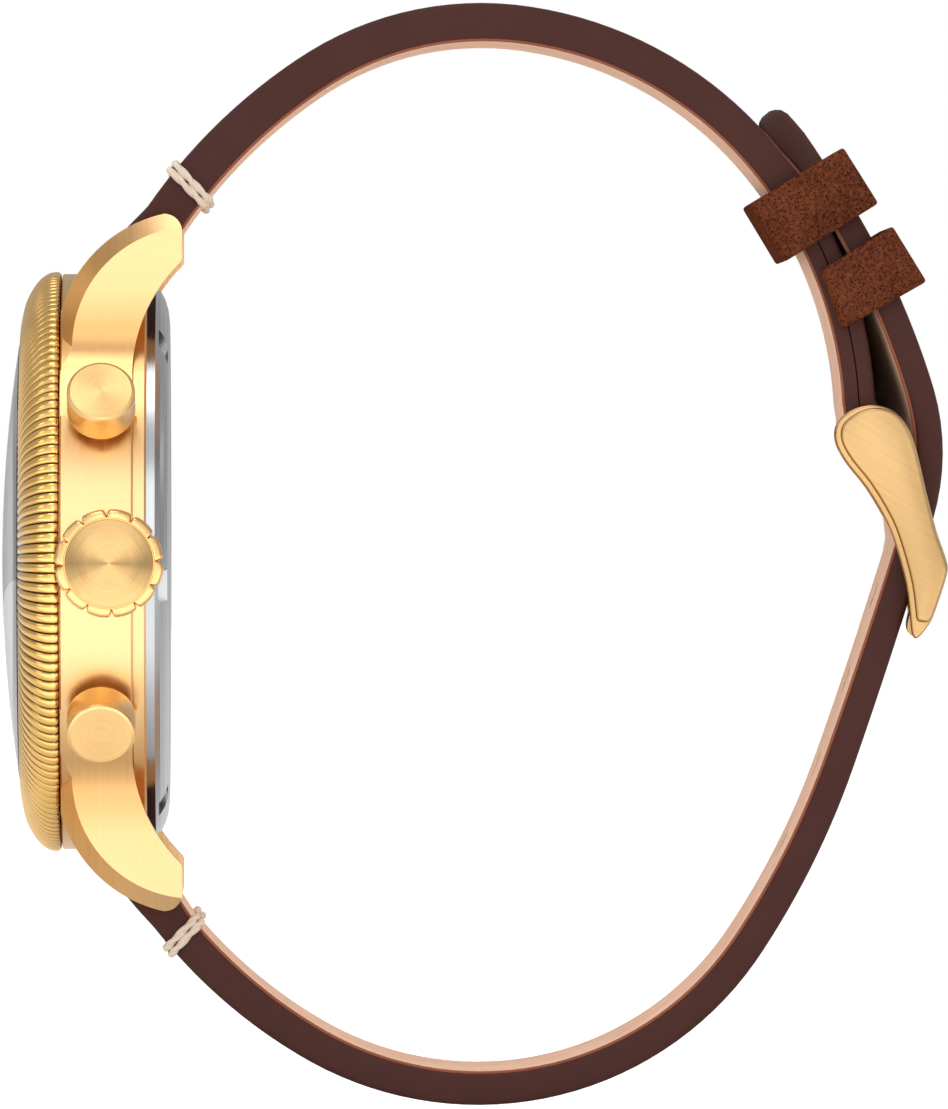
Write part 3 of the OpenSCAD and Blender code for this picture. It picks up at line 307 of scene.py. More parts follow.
@dataclass(frozen=True)
class TurnedMetal(Surface):
    """Metal brushed in rings round an axis, as a lathe leaves it."""

    centre: Point3
    axis: Point3
    roughness: float = 0.3
    contrast: float = 0.14
    pitch: float = 7500.0
    anisotropy: float = 0.75
    depth: float = 0.00001
    # painted shade: a painted bow-tie of shade and reflection that darkens the sides of the face across the axis
    painted_bowtie_shade: float = 0.0

    def lay(self, t: Tree) -> None:
        """Lays the nodes.

        Args:
            t: the new material's tree.
        """
        axis = Vector(self.axis).normalized()
        arm = t.vector("SUBTRACT", t.place(), [c * MM for c in self.centre])
        along = t.vector("DOT_PRODUCT", arm, axis, out="Value")
        flat = t.vector("SUBTRACT", arm, t.vector("SCALE", axis, scale=along))
        radius = t.vector("LENGTH", flat, out="Value")
        unit = t.vector("NORMALIZE", flat)
        spoke = t.apart(unit)[2]
        rings = [t.math("MULTIPLY", part, by) for part, by in ((radius, self.pitch), (along, self.pitch), (spoke, 1.5))]
        lines = t.noise(t.joined(*rings), 1.0, 3.0, 0.6)
        colour = t.tones(lines, self.colour, 1 - self.contrast, 1.03)
        # painted shade and reflection: the face darkens towards its sides, broken by radial streaks
        if self.painted_bowtie_shade > 0:
            painted_reflection_streaks = t.noise(t.vector("SCALE", unit, scale=2.2), 2.0)
            level = t.scaled(t.math("SUBTRACT", painted_reflection_streaks, 0.5), 0.3, t.math("ABSOLUTE", spoke))
            colour = t.times(colour, t.ramp(level, [(0.0, (1 - self.painted_bowtie_shade,) * 3), (0.8, WHITE)]))
        t.paint(colour)
        t.gloss(lines, 0.14, self.roughness)
        t.bump(lines, 0.3, self.depth)
        t.links.new(t.vector("CROSS_PRODUCT", arm, axis), t.shader.inputs["Tangent"])
        t.fixed(Metallic=1.0, Anisotropic=self.anisotropy)


@dataclass(frozen=True)
class PlainMetal(Surface):
    """Metal with an even satin or polished surface and faint clouds."""

    roughness: float = 0.2
    clouds: float = 700.0
    contrast: float = 0.06

    def lay(self, t: Tree) -> None:
        """Lays the nodes.

        Args:
            t: the new material's tree.
        """
        cloud = t.noise(t.place(), self.clouds, 3.0)
        t.paint(t.tones(cloud, self.colour, 1 - self.contrast, 1.02))
        t.gloss(cloud, 0.1, self.roughness)
        t.fixed(Metallic=1.0)


@dataclass(frozen=True)
class RibbedMetal(Surface):
    """Satin metal with radial ribs about the dial's axis: painted shade in the grooves and inside its inner radius,
    brushed along each rib.
    """

    ribs: int
    roughness: float = 0.24
    # painted shade: how much darker the grooves are painted
    groove_shade: float = 0.78
    inner: float = 16.2

    def lay(self, t: Tree) -> None:
        """Lays the nodes.

        Args:
            t: the new material's tree.
        """
        x, _, z = t.apart(t.place())
        turn = t.math("ARCTAN2", z, x)
        step = t.math("FRACT", t.scaled(turn, self.ribs / (2 * math.pi), self.ribs))
        away = t.math("ABSOLUTE", t.math("SUBTRACT", step, 0.5))
        radius = t.math("SQRT", t.math("ADD", t.math("POWER", x, 2.0), t.math("POWER", z, 2.0)))
        lines = t.noise(t.joined(t.math("MULTIPLY", turn, 260.0), t.math("MULTIPLY", radius, 60.0)), 1.0, 3.0)
        # painted shade in the grooves between the ribs
        dark = t.ramp(away, [(0.0, WHITE), (0.33, WHITE), (0.47, (1 - self.groove_shade,) * 3)])
        # painted shade: the inner wall, inside the inner radius, is painted four times darker
        mask = t.mix(t.math("LESS_THAN", radius, self.inner * MM), dark, (0.25, 0.25, 0.25, 1))
        t.paint(t.times(t.tones(lines, self.colour, 0.9, 1.03), mask))
        t.gloss(lines, 0.12, self.roughness)
        t.bump(lines, 0.25, 0.000008)
        t.fixed(Metallic=1.0)


@dataclass(frozen=True)
class GrainLeather(Surface):
    """Smooth leather: fine grain, soft mottling and a little sheen."""

    grain: float = 2600.0
    roughness: float = 0.55
    depth: float = 0.00003
    mottle: float = 0.18
    specular: float = 0.35

    def lay(self, t: Tree) -> None:
        """Lays the nodes.

        Args:
            t: the new material's tree.
        """
        cells = t.add("TexVoronoi", {"Vector": t.place(), "Scale": self.grain}, feature="DISTANCE_TO_EDGE")
        creases = t.ramp(cells.outputs["Distance"], [(0.0, BLACK), (0.25, WHITE)])
        fine = t.noise(t.place(), self.grain * 1.7, 3.0, 0.6)
        cloud = t.noise(t.place(), 210.0, 4.0, 0.6)
        t.paint(t.tones(t.blend(cloud, 0.7, fine, 0.3), self.colour, 1 - self.mottle, 1 + self.mottle))
        t.gloss(fine, 0.2, self.roughness)
        t.bump(t.blend(creases, 0.6, fine, 0.5), 0.5, self.depth)
        t.fixed(Specular_IOR_Level=self.specular)


@dataclass(frozen=True)
class PoredLeather(Surface):
    """Vegetable tanned leather with open pores: dark dots in a mottled brown."""

    pore_colour: Colour
    pores: float = 5200.0
    roughness: float = 0.7

    def lay(self, t: Tree) -> None:
        """Lays the nodes.

        Args:
            t: the new material's tree.
        """
        warp = t.noise(t.place(), 900.0)
        bent = t.vector("ADD", t.place(), t.joined(t.math("MULTIPLY", warp, 0.0003), t.math("MULTIPLY", warp, 0.0004)))
        dots = t.add("TexVoronoi", {"Vector": bent, "Scale": self.pores, "Randomness": 0.9}, feature="F1")
        size = t.scaled(t.noise(t.place(), 2100.0, 1.0), 0.24, 0.22)
        hole = t.math("SUBTRACT", dots.outputs["Distance"], size)
        mask = t.ramp(t.scaled(hole, 4.0, 0.4), [(0.0, BLACK), (0.65, WHITE)])
        fine = t.noise(t.place(), 3600.0, 3.0, 0.65)
        cloud = t.noise(t.place(), 330.0, 4.0, 0.6)
        skin = t.tones(t.blend(cloud, 0.35, fine, 0.65), self.colour, 0.5, 1.55, (0.36, 0.64))
        t.paint(t.mix(mask, (*self.pore_colour, 1), skin))
        t.gloss(fine, 0.2, self.roughness)
        t.bump(t.blend(mask, 0.7, fine, 0.35), 0.6, 0.00005)
        t.fixed(Specular_IOR_Level=0.0)


@dataclass(frozen=True)
class SuedeLining(Surface):
    """Matt lining leather with short fibres and faint stains."""

    roughness: float = 0.85

    def lay(self, t: Tree) -> None:
        """Lays the nodes.

        Args:
            t: the new material's tree.
        """
        fibre = t.noise(t.place(), 9000.0, 4.0, 0.7)
        cloud = t.noise(t.place(), 260.0, 4.0, 0.65)
        t.paint(t.tones(t.blend(cloud, 0.65, fibre, 0.35), self.colour, 0.82, 1.1))
        t.bump(fibre, 0.5, 0.00004)
        t.fixed(Roughness=self.roughness, Specular_IOR_Level=0.2)


@dataclass(frozen=True)
class WaxedThread(Surface):
    """Waxed linen thread: fine fibres along a cream strand."""

    def lay(self, t: Tree) -> None:
        """Lays the nodes.

        Args:
            t: the new material's tree.
        """
        fibre = t.noise(t.mapped((5000, 16000, 16000)), 1.0, 3.0, 0.7)
        t.paint(t.tones(fibre, self.colour, 0.7, 1.12, (0.25, 0.7)))
        t.bump(fibre, 0.5, 0.00003)
        t.fixed(Roughness=0.6, Specular_IOR_Level=0.3)


@dataclass(frozen=True)
class Lacquer(Surface):
    """Paint, rubber or printed ink with a fine grain."""

    roughness: float = 0.35
    grain: float = 3000.0
    contrast: float = 0.04

    def lay(self, t: Tree) -> None:
        """Lays the nodes.

        Args:
            t: the new material's tree.
        """
        cloud = t.noise(t.place(), self.grain)
        t.paint(t.tones(cloud, self.colour, 1 - self.contrast, 1.02))
        t.bump(cloud, 0.2, 0.000005)
        t.fixed(Roughness=self.roughness)


@dataclass(frozen=True)
class ClearStone(Surface):
    """Clear crystal or a synthetic ruby, with a faint haze on its surface."""

    ior: float = 1.45
    roughness: float = 0.02

    def lay(self, t: Tree) -> None:
        """Lays the nodes."""
        t.paint(t.tones(t.noise(t.place(), 400.0), self.colour, 0.97, 1.0))
        t.fixed(Roughness=self.roughness, IOR=self.ior, Transmission_Weight=1.0)


GOLD: Colour = (0.90, 0.575, 0.24)
STEEL: Colour = (0.50, 0.51, 0.52)


class Finish(Enum):
    """Every finish of the watch, by the piece that it is for."""

    # painted shade: darker from 7 mm off the crown's axis, most at 17 mm by the pushers, and faces turned towards the
    # dial take a darker tint
    CASE = BrushedMetal(
        "case_gold_brushed", (0.90, 0.60, 0.29), (55, 5200, 55), painted_shade_tint=(0.86, 0.72, 0.52),
        painted_shade_bands=((7, WHITE), (11.5, (0.98, 0.94, 0.86)), (14.5, (0.86, 0.76, 0.66)), (17, (0.81, 0.67, 0.53)),
               (19.6, (0.93, 0.87, 0.82)), (22, (0.96, 0.90, 0.88))))
    # painted shade in the grooves and on the inner wall
    BEZEL = RibbedMetal("bezel_gold_ribbed", (1.0, 0.60, 0.19), 180, 0.2, 0.88)
    # painted shade: a darker copy of the gold, with a painted bow-tie of shade and reflection across its end face
    CROWN = TurnedMetal("crown_gold_turned", shade(GOLD, 0.80), (0, -4.19, 0), (1, 0, 0), painted_bowtie_shade=0.55)
    CROWN_RIM = PlainMetal("crown_gold_satin", GOLD, 0.26)
    PUSHER_UP = TurnedMetal(
        "upper_pusher_gold_turned", GOLD, (0, -4.8, 0), (0.866025, 0, 0.5), contrast=0.1, anisotropy=0.5)
    PUSHER_DOWN = TurnedMetal(
        "lower_pusher_gold_turned", GOLD, (0, -4.8, 0), (0.866025, 0, -0.5), contrast=0.1, anisotropy=0.5)
    # painted shade: a darker copy of the gold, a darker tint on faces turned towards the dial and downwards, and darker
    # bands near the crown's axis in height
    BUCKLE = BrushedMetal(
        "buckle_gold_brushed", (0.65, 0.415, 0.185), (90, 90, 6500), (32, 0, 0), 0.34, 0.2, shaded_side=(0, -0.85, -0.5),
        painted_shade_tint=(0.66, 0.49, 0.30), painted_shade_bands=((1, (0.86, 0.85, 0.84)), (5, (0.93, 0.92, 0.91)), (8, WHITE)))
    HAND_GOLD = PlainMetal("gilt_polished", shade(GOLD, 0.95), 0.16)
    CASE_BACK = TurnedMetal("case_back_steel_turned", shade(STEEL, 0.92), (0, 0, 0), (0, 1, 0), 0.2, 0.1, 5000.0, 0.5)
    STEEL = PlainMetal("steel_satin", STEEL, 0.28)
    PLATE = BrushedMetal("movement_rhodium_striped", (0.62, 0.62, 0.6), (1500, 40, 40))
    BRASS = PlainMetal("wheel_brass", (0.72, 0.5, 0.2), 0.28)
    BLUED = PlainMetal("blued_steel", (0.03, 0.06, 0.25), 0.25)
    RUBY = ClearStone("ruby_stone", (0.6, 0.03, 0.12), 1.76)
    CRYSTAL = ClearStone("crystal_clear", (0.83, 0.85, 0.86), 1.5)
    RUBBER = Lacquer("gasket_rubber", (0.02, 0.02, 0.02), 0.7)
    DIAL = Lacquer("dial_ivory_lacquer", (0.93, 0.87, 0.74), 0.4)
    INK = Lacquer("print_dark_brown", (0.03, 0.016, 0.012), 0.5)
    DARK_HAND = Lacquer("hand_dark_lacquer", (0.035, 0.018, 0.013), 0.3)
    STRAP_FACE = GrainLeather("strap_leather_grain", (0.066, 0.0205, 0.015), 1900.0, 0.55, 0.00004, 0.24, 0.2)
    STRAP_EDGE = GrainLeather("strap_edge_paint", (0.070, 0.0215, 0.016), 5200.0, 0.62, 0.000015, 0.1, 0.2)
    LINING = SuedeLining("strap_lining_tan", (0.97, 0.62, 0.445))
    LINING_EDGE = GrainLeather("strap_lining_cut_edge", (0.30, 0.085, 0.04), 5200.0, 0.6, 0.00002)
    KEEPER = PoredLeather("keeper_leather_pored", (0.140, 0.039, 0.018), (0.042, 0.011, 0.006))
    THREAD = WaxedThread("stitch_thread_cream", (0.92, 0.74, 0.60))

    def made(self) -> bpy.types.Material:
        """Returns the finish's material, built once."""
        found = bpy.data.materials.get(self.value.name)
        return found if found is not None else self.value.make()


# ------------------------------------------------------------------ workshop


class Shop:
    """Hand tools over the modeller's own operators."""

    SHARP = 50

    @staticmethod
    def clear() -> None:
        """Leaves edit mode and deselects everything."""
        if bpy.context.object is not None and bpy.context.object.mode != "OBJECT":
            bpy.ops.object.mode_set(mode="OBJECT")
        bpy.ops.object.select_all(action="DESELECT")

    @staticmethod
    def pick(*pieces: Piece) -> None:
        """Selects the given pieces alone and makes the first one active.

        Args:
            *pieces: the pieces.
        """
        Shop.clear()
        for piece in pieces:
            piece.select_set(True)
        bpy.context.view_layer.objects.active = pieces[0]

    @staticmethod
    def ring(name: str, points: np.ndarray) -> Piece:
        """Adds a circle and brings its corners to a given loop.

        Args:
            name: the piece's name.
            points: the loop's corners in millimetres, one row each.

        Returns:
            The new wire piece.
        """
        Shop.clear()
        bpy.ops.mesh.primitive_circle_add(vertices=len(points), radius=MM, fill_type="NOTHING")
        piece = bpy.context.object
        piece.name = piece.data.name = name
        piece.data.vertices.foreach_set("co", (np.asarray(points, float) * MM).astype(np.float32).ravel())
        piece.data.update()
        return piece

    @staticmethod
    def loft(name: str, sections: Sequence[np.ndarray], closed: bool = False) -> Piece:
        """Extrudes a loop through a row of sections.

        Args:
            name: the piece's name.
            sections: loops with equal numbers of corners, in millimetres.
            closed: whether the last section meets the first, as in a ring.

        Returns:
            The piece, a closed skin with its faces outwards.
        """
        piece = Shop.ring(name, sections[0])
        count = len(sections[0])
        bpy.ops.object.mode_set(mode="EDIT")
        bpy.ops.mesh.select_all(action="SELECT")
        row = list(range(count))
        for section in [*sections[1:], *([sections[0]] if closed else [])]:
            bpy.ops.mesh.extrude_region_move()
            mesh = bmesh.from_edit_mesh(piece.data)
            mesh.verts.ensure_lookup_table()
            old = {tuple(round(c, 8) for c in mesh.verts[i].co): k for k, i in enumerate(row)}
            for v in [v for v in mesh.verts if v.select]:
                k = old[tuple(round(c, 8) for c in v.co)]
                row[k] = v.index
                v.co = Vector(section[k]) * MM
            bmesh.update_edit_mesh(piece.data)
        if closed:
            bpy.ops.mesh.select_all(action="SELECT")
            bpy.ops.mesh.remove_doubles(threshold=1e-7)
        else:
            bpy.ops.mesh.edge_face_add()
            bpy.ops.mesh.select_all(action="DESELECT")
            mesh = bmesh.from_edit_mesh(piece.data)
            mesh.verts.ensure_lookup_table()
            for k in range(count):
                mesh.verts[k].select = True
            mesh.select_flush(True)
            bmesh.update_edit_mesh(piece.data)
            bpy.ops.mesh.edge_face_add()
        bpy.ops.mesh.select_all(action="SELECT")
        bpy.ops.mesh.normals_make_consistent(inside=False)
        bpy.ops.object.mode_set(mode="OBJECT")
        return piece

    @staticmethod
    def plate(name: str, outline: Sequence[Point2], x0: float, x1: float, edge: float, steps: int = 3) -> Piece:
        """Extrudes an outline of the y-z plane across x and rounds its rims.

        Args:
            name: the piece's name.
            outline: corners (y, z) in millimetres.
            x0: lower end across x.
            x1: upper end across x.
            edge: radius of the rounded rims.
            steps: faces across each rounded rim.

        Returns:
            The piece.
        """
        piece = Shop.loft(name, [np.array([[x, y, z] for y, z in outline]) for x in (x0, x1)])
        if edge > 0:
            Shop.apply(piece, "BEVEL", width=edge * MM, segments=steps, limit_method="ANGLE",
                       angle_limit=math.radians(Shop.SHARP))
        return piece

    @staticmethod
    def apply(piece: Piece, kind: str, **settings: object) -> None:
        """Gives a piece a modifier with the given settings and applies it.

        Args:
            piece: the piece.
            kind: the modifier's type.
            **settings: the modifier's own options.
        """
        Shop.pick(piece)
        tool = piece.modifiers.new(kind.lower(), kind)
        for key, value in settings.items():
            setattr(tool, key, value)
        bpy.ops.object.modifier_apply(modifier=tool.name)

    @staticmethod
    def cut(piece: Piece, cutter: Piece) -> None:
        """Cuts one closed piece out of another and removes the cutter."""
        Shop.apply(piece, "BOOLEAN", operation="DIFFERENCE", solver="EXACT", object=cutter)
        bpy.data.objects.remove(cutter)

    @staticmethod
    def join(name: str, pieces: Sequence[Piece]) -> Piece:
        """Joins pieces into one and returns it under its name.

        Args:
            name: the joined piece's name.
            pieces: what is joined.

        Returns:
            The joined piece.
        """
        Shop.pick(*pieces)
        bpy.ops.object.join()
        made = bpy.context.object
        made.name = made.data.name = name
        return made

    @staticmethod
    def finish(
        piece: Piece, body: str, nodes: Sequence[str], slot: str, finishes: Sequence[Finish], angle: float = 35
    ) -> None:
        """Dresses a piece and ties it to the part.

        Args:
            piece: the piece, at rest in the part's frame.
            body: the body that it rides on.
            nodes: the solids that it stands for.
            slot: not used.
            finishes: one finish for each of the mesh's material numbers.
            angle: the angle in degrees up to which it is shaded smooth.
        """
        Shop.pick(piece)
        bpy.ops.object.shade_smooth_by_angle(angle=math.radians(angle))
        while len(piece.data.materials) < len(finishes):
            piece.data.materials.append(None)
        for k, f in enumerate(finishes):
            piece.data.materials[k] = f.made()
        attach(piece, body)
        if nodes:
            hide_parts(*nodes)
        LOG.info("%s: %d faces", piece.name, len(piece.data.polygons))


# ------------------------------------------------------------------ strap


def clamp(value: float) -> float:
    """Returns a value held between 0 and 1."""
    return min(1.0, max(0.0, value))


def ease(share: float) -> float:
    """Returns a share from 0 to 1 with soft ends."""
    return share * share * (3 - 2 * share)


def unit(angle: float) -> np.ndarray:
    """Returns the unit vector at an angle in degrees."""
    return np.array([math.cos(math.radians(angle)), math.sin(math.radians(angle))])


def left(heading: float) -> np.ndarray:
    """Returns the unit vector to the left of a heading in degrees."""
    x, y = unit(heading)
    return np.array([-y, x])


@dataclass(frozen=True)
class Chain:
    """A centre line of tangent arcs in the y-z plane, in millimetres and degrees."""

    start: Point2
    heading: float
    arcs: tuple[Point2, ...]

    def length(self) -> float:
        """Returns the whole length."""
        return sum(abs(r * math.radians(t)) for r, t in self.arcs)

    def at(self, s: float) -> tuple[np.ndarray, float]:
        """Returns the point and heading at a length.

        Args:
            s: length from the start; past the ends the line runs on straight.

        Returns:
            The point and the heading in degrees.
        """
        p, a = np.array(self.start, float), self.heading
        if s < 0:
            return p + s * unit(a), a
        for r, t in self.arcs:
            run = abs(r * math.radians(t))
            b = a + t * min(1.0, s / run)
            ra, rb = math.radians(a), math.radians(b)
            p = p + r * np.array([math.sin(rb) - math.sin(ra), math.cos(ra) - math.cos(rb)])
            a = b
            s -= run
            if s <= 0:
                return p, a
        return p + s * unit(a), a


@dataclass(frozen=True)
class Station:
    """One cross-section of a strap: place, heading, half width and thickness, depth of the edge's seam and lean."""

    place: np.ndarray
    heading: float
    half_width: float
    half_thick: float
    seam: float = 0.0
    lean: float = 0.0


@dataclass
class Strap:
    """One leather strap with its lining; faces turned by more than edge_turn towards x take its edge's finish."""

    name: str
    chain: Chain
    thick: Point2
    inner_left: bool
    bar: Point2
    loop: float = 1.62
    lug_half_width: float = 10.85
    buckle_half_width: float = 10.0
    buckle_y: float = 46.0
    corner: float = 0.42
    lining: float = 0.28
    lining_shows: float = 0.07
    lining_inset: float = 0.1
    seam: float = 0.3
    seam_from: float = 1e9
    pin: Optional[Point2] = None
    pin_loop: float = 1.95
    step: float = 1.1
    tip_swell: float = 0.0
    twist: float = 0.0
    twist_span: tuple[float, float, float, float] = (78.5, 83.5, 96.0, 102.0)
    edge_turn: float = 0.3

    def half_width(self, y: float) -> float:
        """Returns the half width where the strap lies at y."""
        return self.lug_half_width + (self.buckle_half_width - self.lug_half_width) * clamp(y / self.buckle_y)

    def thickness(self, s: float) -> float:
        """Returns the thickness at length s.

        Args:
            s: length along the centre line.

        Returns:
            The thickness in millimetres.
        """
        whole = self.chain.length()
        swell = self.tip_swell * clamp((s - whole + 5.0) / 2.0)
        return self.thick[0] + (self.thick[1] - self.thick[0]) * clamp(s / whole) + swell

    def lean(self, s: float) -> float:
        """Returns how far the strap's edge away from the crown leans inwards at length s."""
        up, full, fall, end = self.twist_span
        return self.twist * ease(clamp((s - up) / (full - up)) * clamp((end - s) / (end - fall)))

    def lug_stations(self) -> list[Station]:
        """Returns the rounded end round the lug's bar, up to the chain's start.

        Returns:
            The stations, from the bar outwards.
        """
        first, heading = self.chain.at(0)
        bar = np.array(self.bar, float)
        aim = math.degrees(math.atan2(*(first - bar)[::-1]))
        made = []
        for a in (4, 20, 40, 60, 78):
            back, half = self.loop * unit(a)
            made.append(Station(bar - back * unit(aim), aim, self.lug_half_width, half))
        for k in (0.0, 0.35, 0.7):
            half = self.loop + (self.thick[0] / 2 - self.loop) * ease(k)
            made.append(Station(bar + (first - bar) * k, aim + (heading - aim) * k, self.lug_half_width, half))
        return made

    def run_stations(self) -> list[Station]:
        """Returns the stations along the chain, up to the far end.

        Returns:
            The stations, from the lug on.
        """
        stop = self.chain.length() - (0 if self.pin is not None else self.buckle_half_width)
        count = int(stop / self.step)
        made = []
        for k in range(count + 1):
            s = stop * k / count
            p, a = self.chain.at(s)
            seam = self.seam if s > self.seam_from else 0.0
            made.append(Station(p, a, self.half_width(p[0]), self.thickness(s) / 2, seam, self.lean(s)))
        return made

    def end_stations(self) -> list[Station]:
        """Returns the strap's far end: the loop round the buckle's pin, or the rounded tip.

        Returns:
            The stations, up to the very end.
        """
        whole = self.chain.length()
        last, heading = self.chain.at(whole)
        if self.pin is not None:
            pin = np.array(self.pin, float)
            aim = math.degrees(math.atan2(*(pin - last)[::-1]))
            made = []
            for k in (0.3, 0.6, 1.0):
                half = self.thick[1] / 2 + (self.pin_loop - self.thick[1] / 2) * ease(k)
                place, turn = last + (pin - last) * k, heading + (aim - heading) * k
                made.append(Station(place, turn, self.buckle_half_width, half, self.seam if k < 1 else 0.0))
            for a in (15, 35, 55, 72, 86):
                half, ahead = self.pin_loop * unit(a)
                made.append(Station(pin + ahead * unit(aim), aim, self.buckle_half_width, half))
            return made
        made = []
        r = self.buckle_half_width
        for k in (0.15, 0.3, 0.45, 0.6, 0.72, 0.82, 0.9, 0.95, 0.98, 0.995):
            s = whole - r + r * k
            p, a = self.chain.at(s)
            wide = self.half_width(p[0]) * math.sqrt(1 - k * k)
            near = max(0.0, 1 - (whole - s) / 1.0)
            half = self.thickness(s) / 2 * math.sqrt(max(0.05, 1 - near * near))
            made.append(Station(p, a, wide, half, 0.0, self.lean(s)))
        return made

    def stations(self) -> list[Station]:
        """Returns every station of the strap, from the lug to its far end."""
        return self.lug_stations() + self.run_stations() + self.end_stations()

    def section(self, st: Station, low: float, high: float, wide: float) -> np.ndarray:
        """Returns a cross-section's loop in millimetres.

        Args:
            st: the station.
            low: offset of the right-hand face along the left normal.
            high: offset of the left-hand face along the left normal.
            wide: half width.

        Returns:
            The loop's corners, one row each.
        """
        c = min(self.corner, (high - low) * 0.45, wide * 0.45)
        mid = (low + high) / 2
        gap = min(0.05, (high - low) * 0.04)
        flat = wide - c
        side = [(flat + c * x, low + c + c * n) for x, n in map(unit, (-90, -60, -30, 0))]
        side += [(wide, mid - gap), (wide - st.seam, mid), (wide, mid + gap)]
        side += [(flat + c * x, high - c + c * n) for x, n in map(unit, (0, 30, 60, 90))]
        top = [(flat * f, high) for f in (0.6, 0.2, -0.2, -0.6)]
        under = [(flat * f, low) for f in (-0.6, -0.2, 0.2, 0.6)]
        loop = side + top + [(-x, n) for x, n in reversed(side)] + under
        out = left(st.heading)
        return np.array([[x, *(st.place + (n + st.lean * (0.5 - x / (2 * st.half_width))) * out)] for x, n in loop])

    def build(self) -> tuple[Piece, Piece]:
        """Builds the strap's leather and its lining.

        Returns:
            The leather's piece and the lining's.
        """
        leather, inner = [], []
        for st in self.stations():
            half, skin = st.half_thick, min(self.lining_shows, st.half_thick * 0.3)
            low, high = (-half, half - skin) if self.inner_left else (skin - half, half)
            leather.append(self.section(st, low, high, st.half_width))
        ends = self.end_stations()
        ends = ends[:3] if self.pin is not None else ends[:-3]
        for st in self.lug_stations()[-2:] + self.run_stations() + ends:
            half = st.half_thick
            low, high = (half - self.lining, half) if self.inner_left else (-half, self.lining - half)
            inner.append(self.section(replace(st, seam=0.0), low, high, st.half_width - self.lining_inset))
        body = Shop.loft(self.name, leather)
        lining = Shop.loft(self.name + "_lining", inner)
        for piece in (body, lining):
            for face in piece.data.polygons:
                face.material_index = 1 if abs(face.normal.x) > self.edge_turn else 0
        return body, lining


@dataclass
class StrapSet:
    """Both straps, as they lie when the watch is buckled."""

    short_chain: Chain = Chain((-0.26, 24.77), 55.6, ((-38.7, -22.2), (-22.15, -40.6), (-27.0, -40.4), (-29.7, -39.8)))
    long_chain: Chain = Chain((0.7, -26.41), -50.4, (
        (36.2, 20.2), (23.75, 38.7), (23.1, 47.8), (58.9, 14.3), (400, 2.7), (15.5, 33.6), (56.4, 23.3)))
    bar: Point2 = (-2.0, 22.8)
    pin: Point2 = (50.7, 8.5)
    tongue_at: float = 81.6
    hole_pitch: float = 6.5
    hole_r: float = 1.0
    slot_half: float = 1.3
    slot_low: Point2 = (-6.7, -4.0)
    slot_high: Point2 = (5.3, 2.6)
    short_thick: Point2 = (3.06, 2.37)
    long_thick: Point2 = (2.6, 1.98)

    def build(self) -> None:
        """Builds both straps with their slots and holes, and dresses them."""
        short = Strap("strap_short_leather", self.short_chain, self.short_thick, False, self.bar, seam_from=54.5,
                      pin=self.pin)
        long = Strap("strap_long_leather", self.long_chain, self.long_thick, True, (self.bar[0], -self.bar[1]),
                     tip_swell=0.36, twist=1.75)
        body, lining = short.build()
        low, high = [(self.pin[0] + y, self.pin[1] + z) for y, z in (self.slot_low, self.slot_high)]
        slot = [low, (high[0], low[1]), high, (low[0], high[1])]
        Shop.cut(body, Shop.plate("slot", slot, -self.slot_half, self.slot_half, 0))
        Shop.finish(body, "case", ["strap_short"], "strap_leather", [Finish.STRAP_FACE, Finish.STRAP_EDGE])
        Shop.finish(lining, "case", ["strap_short_lining"], "lining_leather", [Finish.LINING, Finish.LINING_EDGE])
        body, lining = long.build()
        for piece in (body, lining):
            for k in range(-4, 2):
                Shop.cut(piece, self.punch(self.tongue_at + k * self.hole_pitch))
        Shop.finish(body, "case", ["strap_long"], "strap_leather", [Finish.STRAP_FACE, Finish.STRAP_EDGE])
        Shop.finish(lining, "case", ["strap_long_lining"], "lining_leather", [Finish.LINING, Finish.LINING_EDGE])

    def punch(self, s: float) -> Piece:
        """Returns a round punch through the long strap at length s.

        Args:
            s: length along the centre line.

        Returns:
            The punch, ready to cut with.
        """
        p, heading = self.long_chain.at(s)
        out, along = left(heading), unit(heading)
        turns, r = [2 * math.pi * k / 28 for k in range(28)], self.hole_r
        rings = [[[r * math.cos(a), *(p + d * out + r * math.sin(a) * along)] for a in turns] for d in (-4.0, 4.0)]
        return Shop.loft("punch", [np.array(ring) for ring in rings])


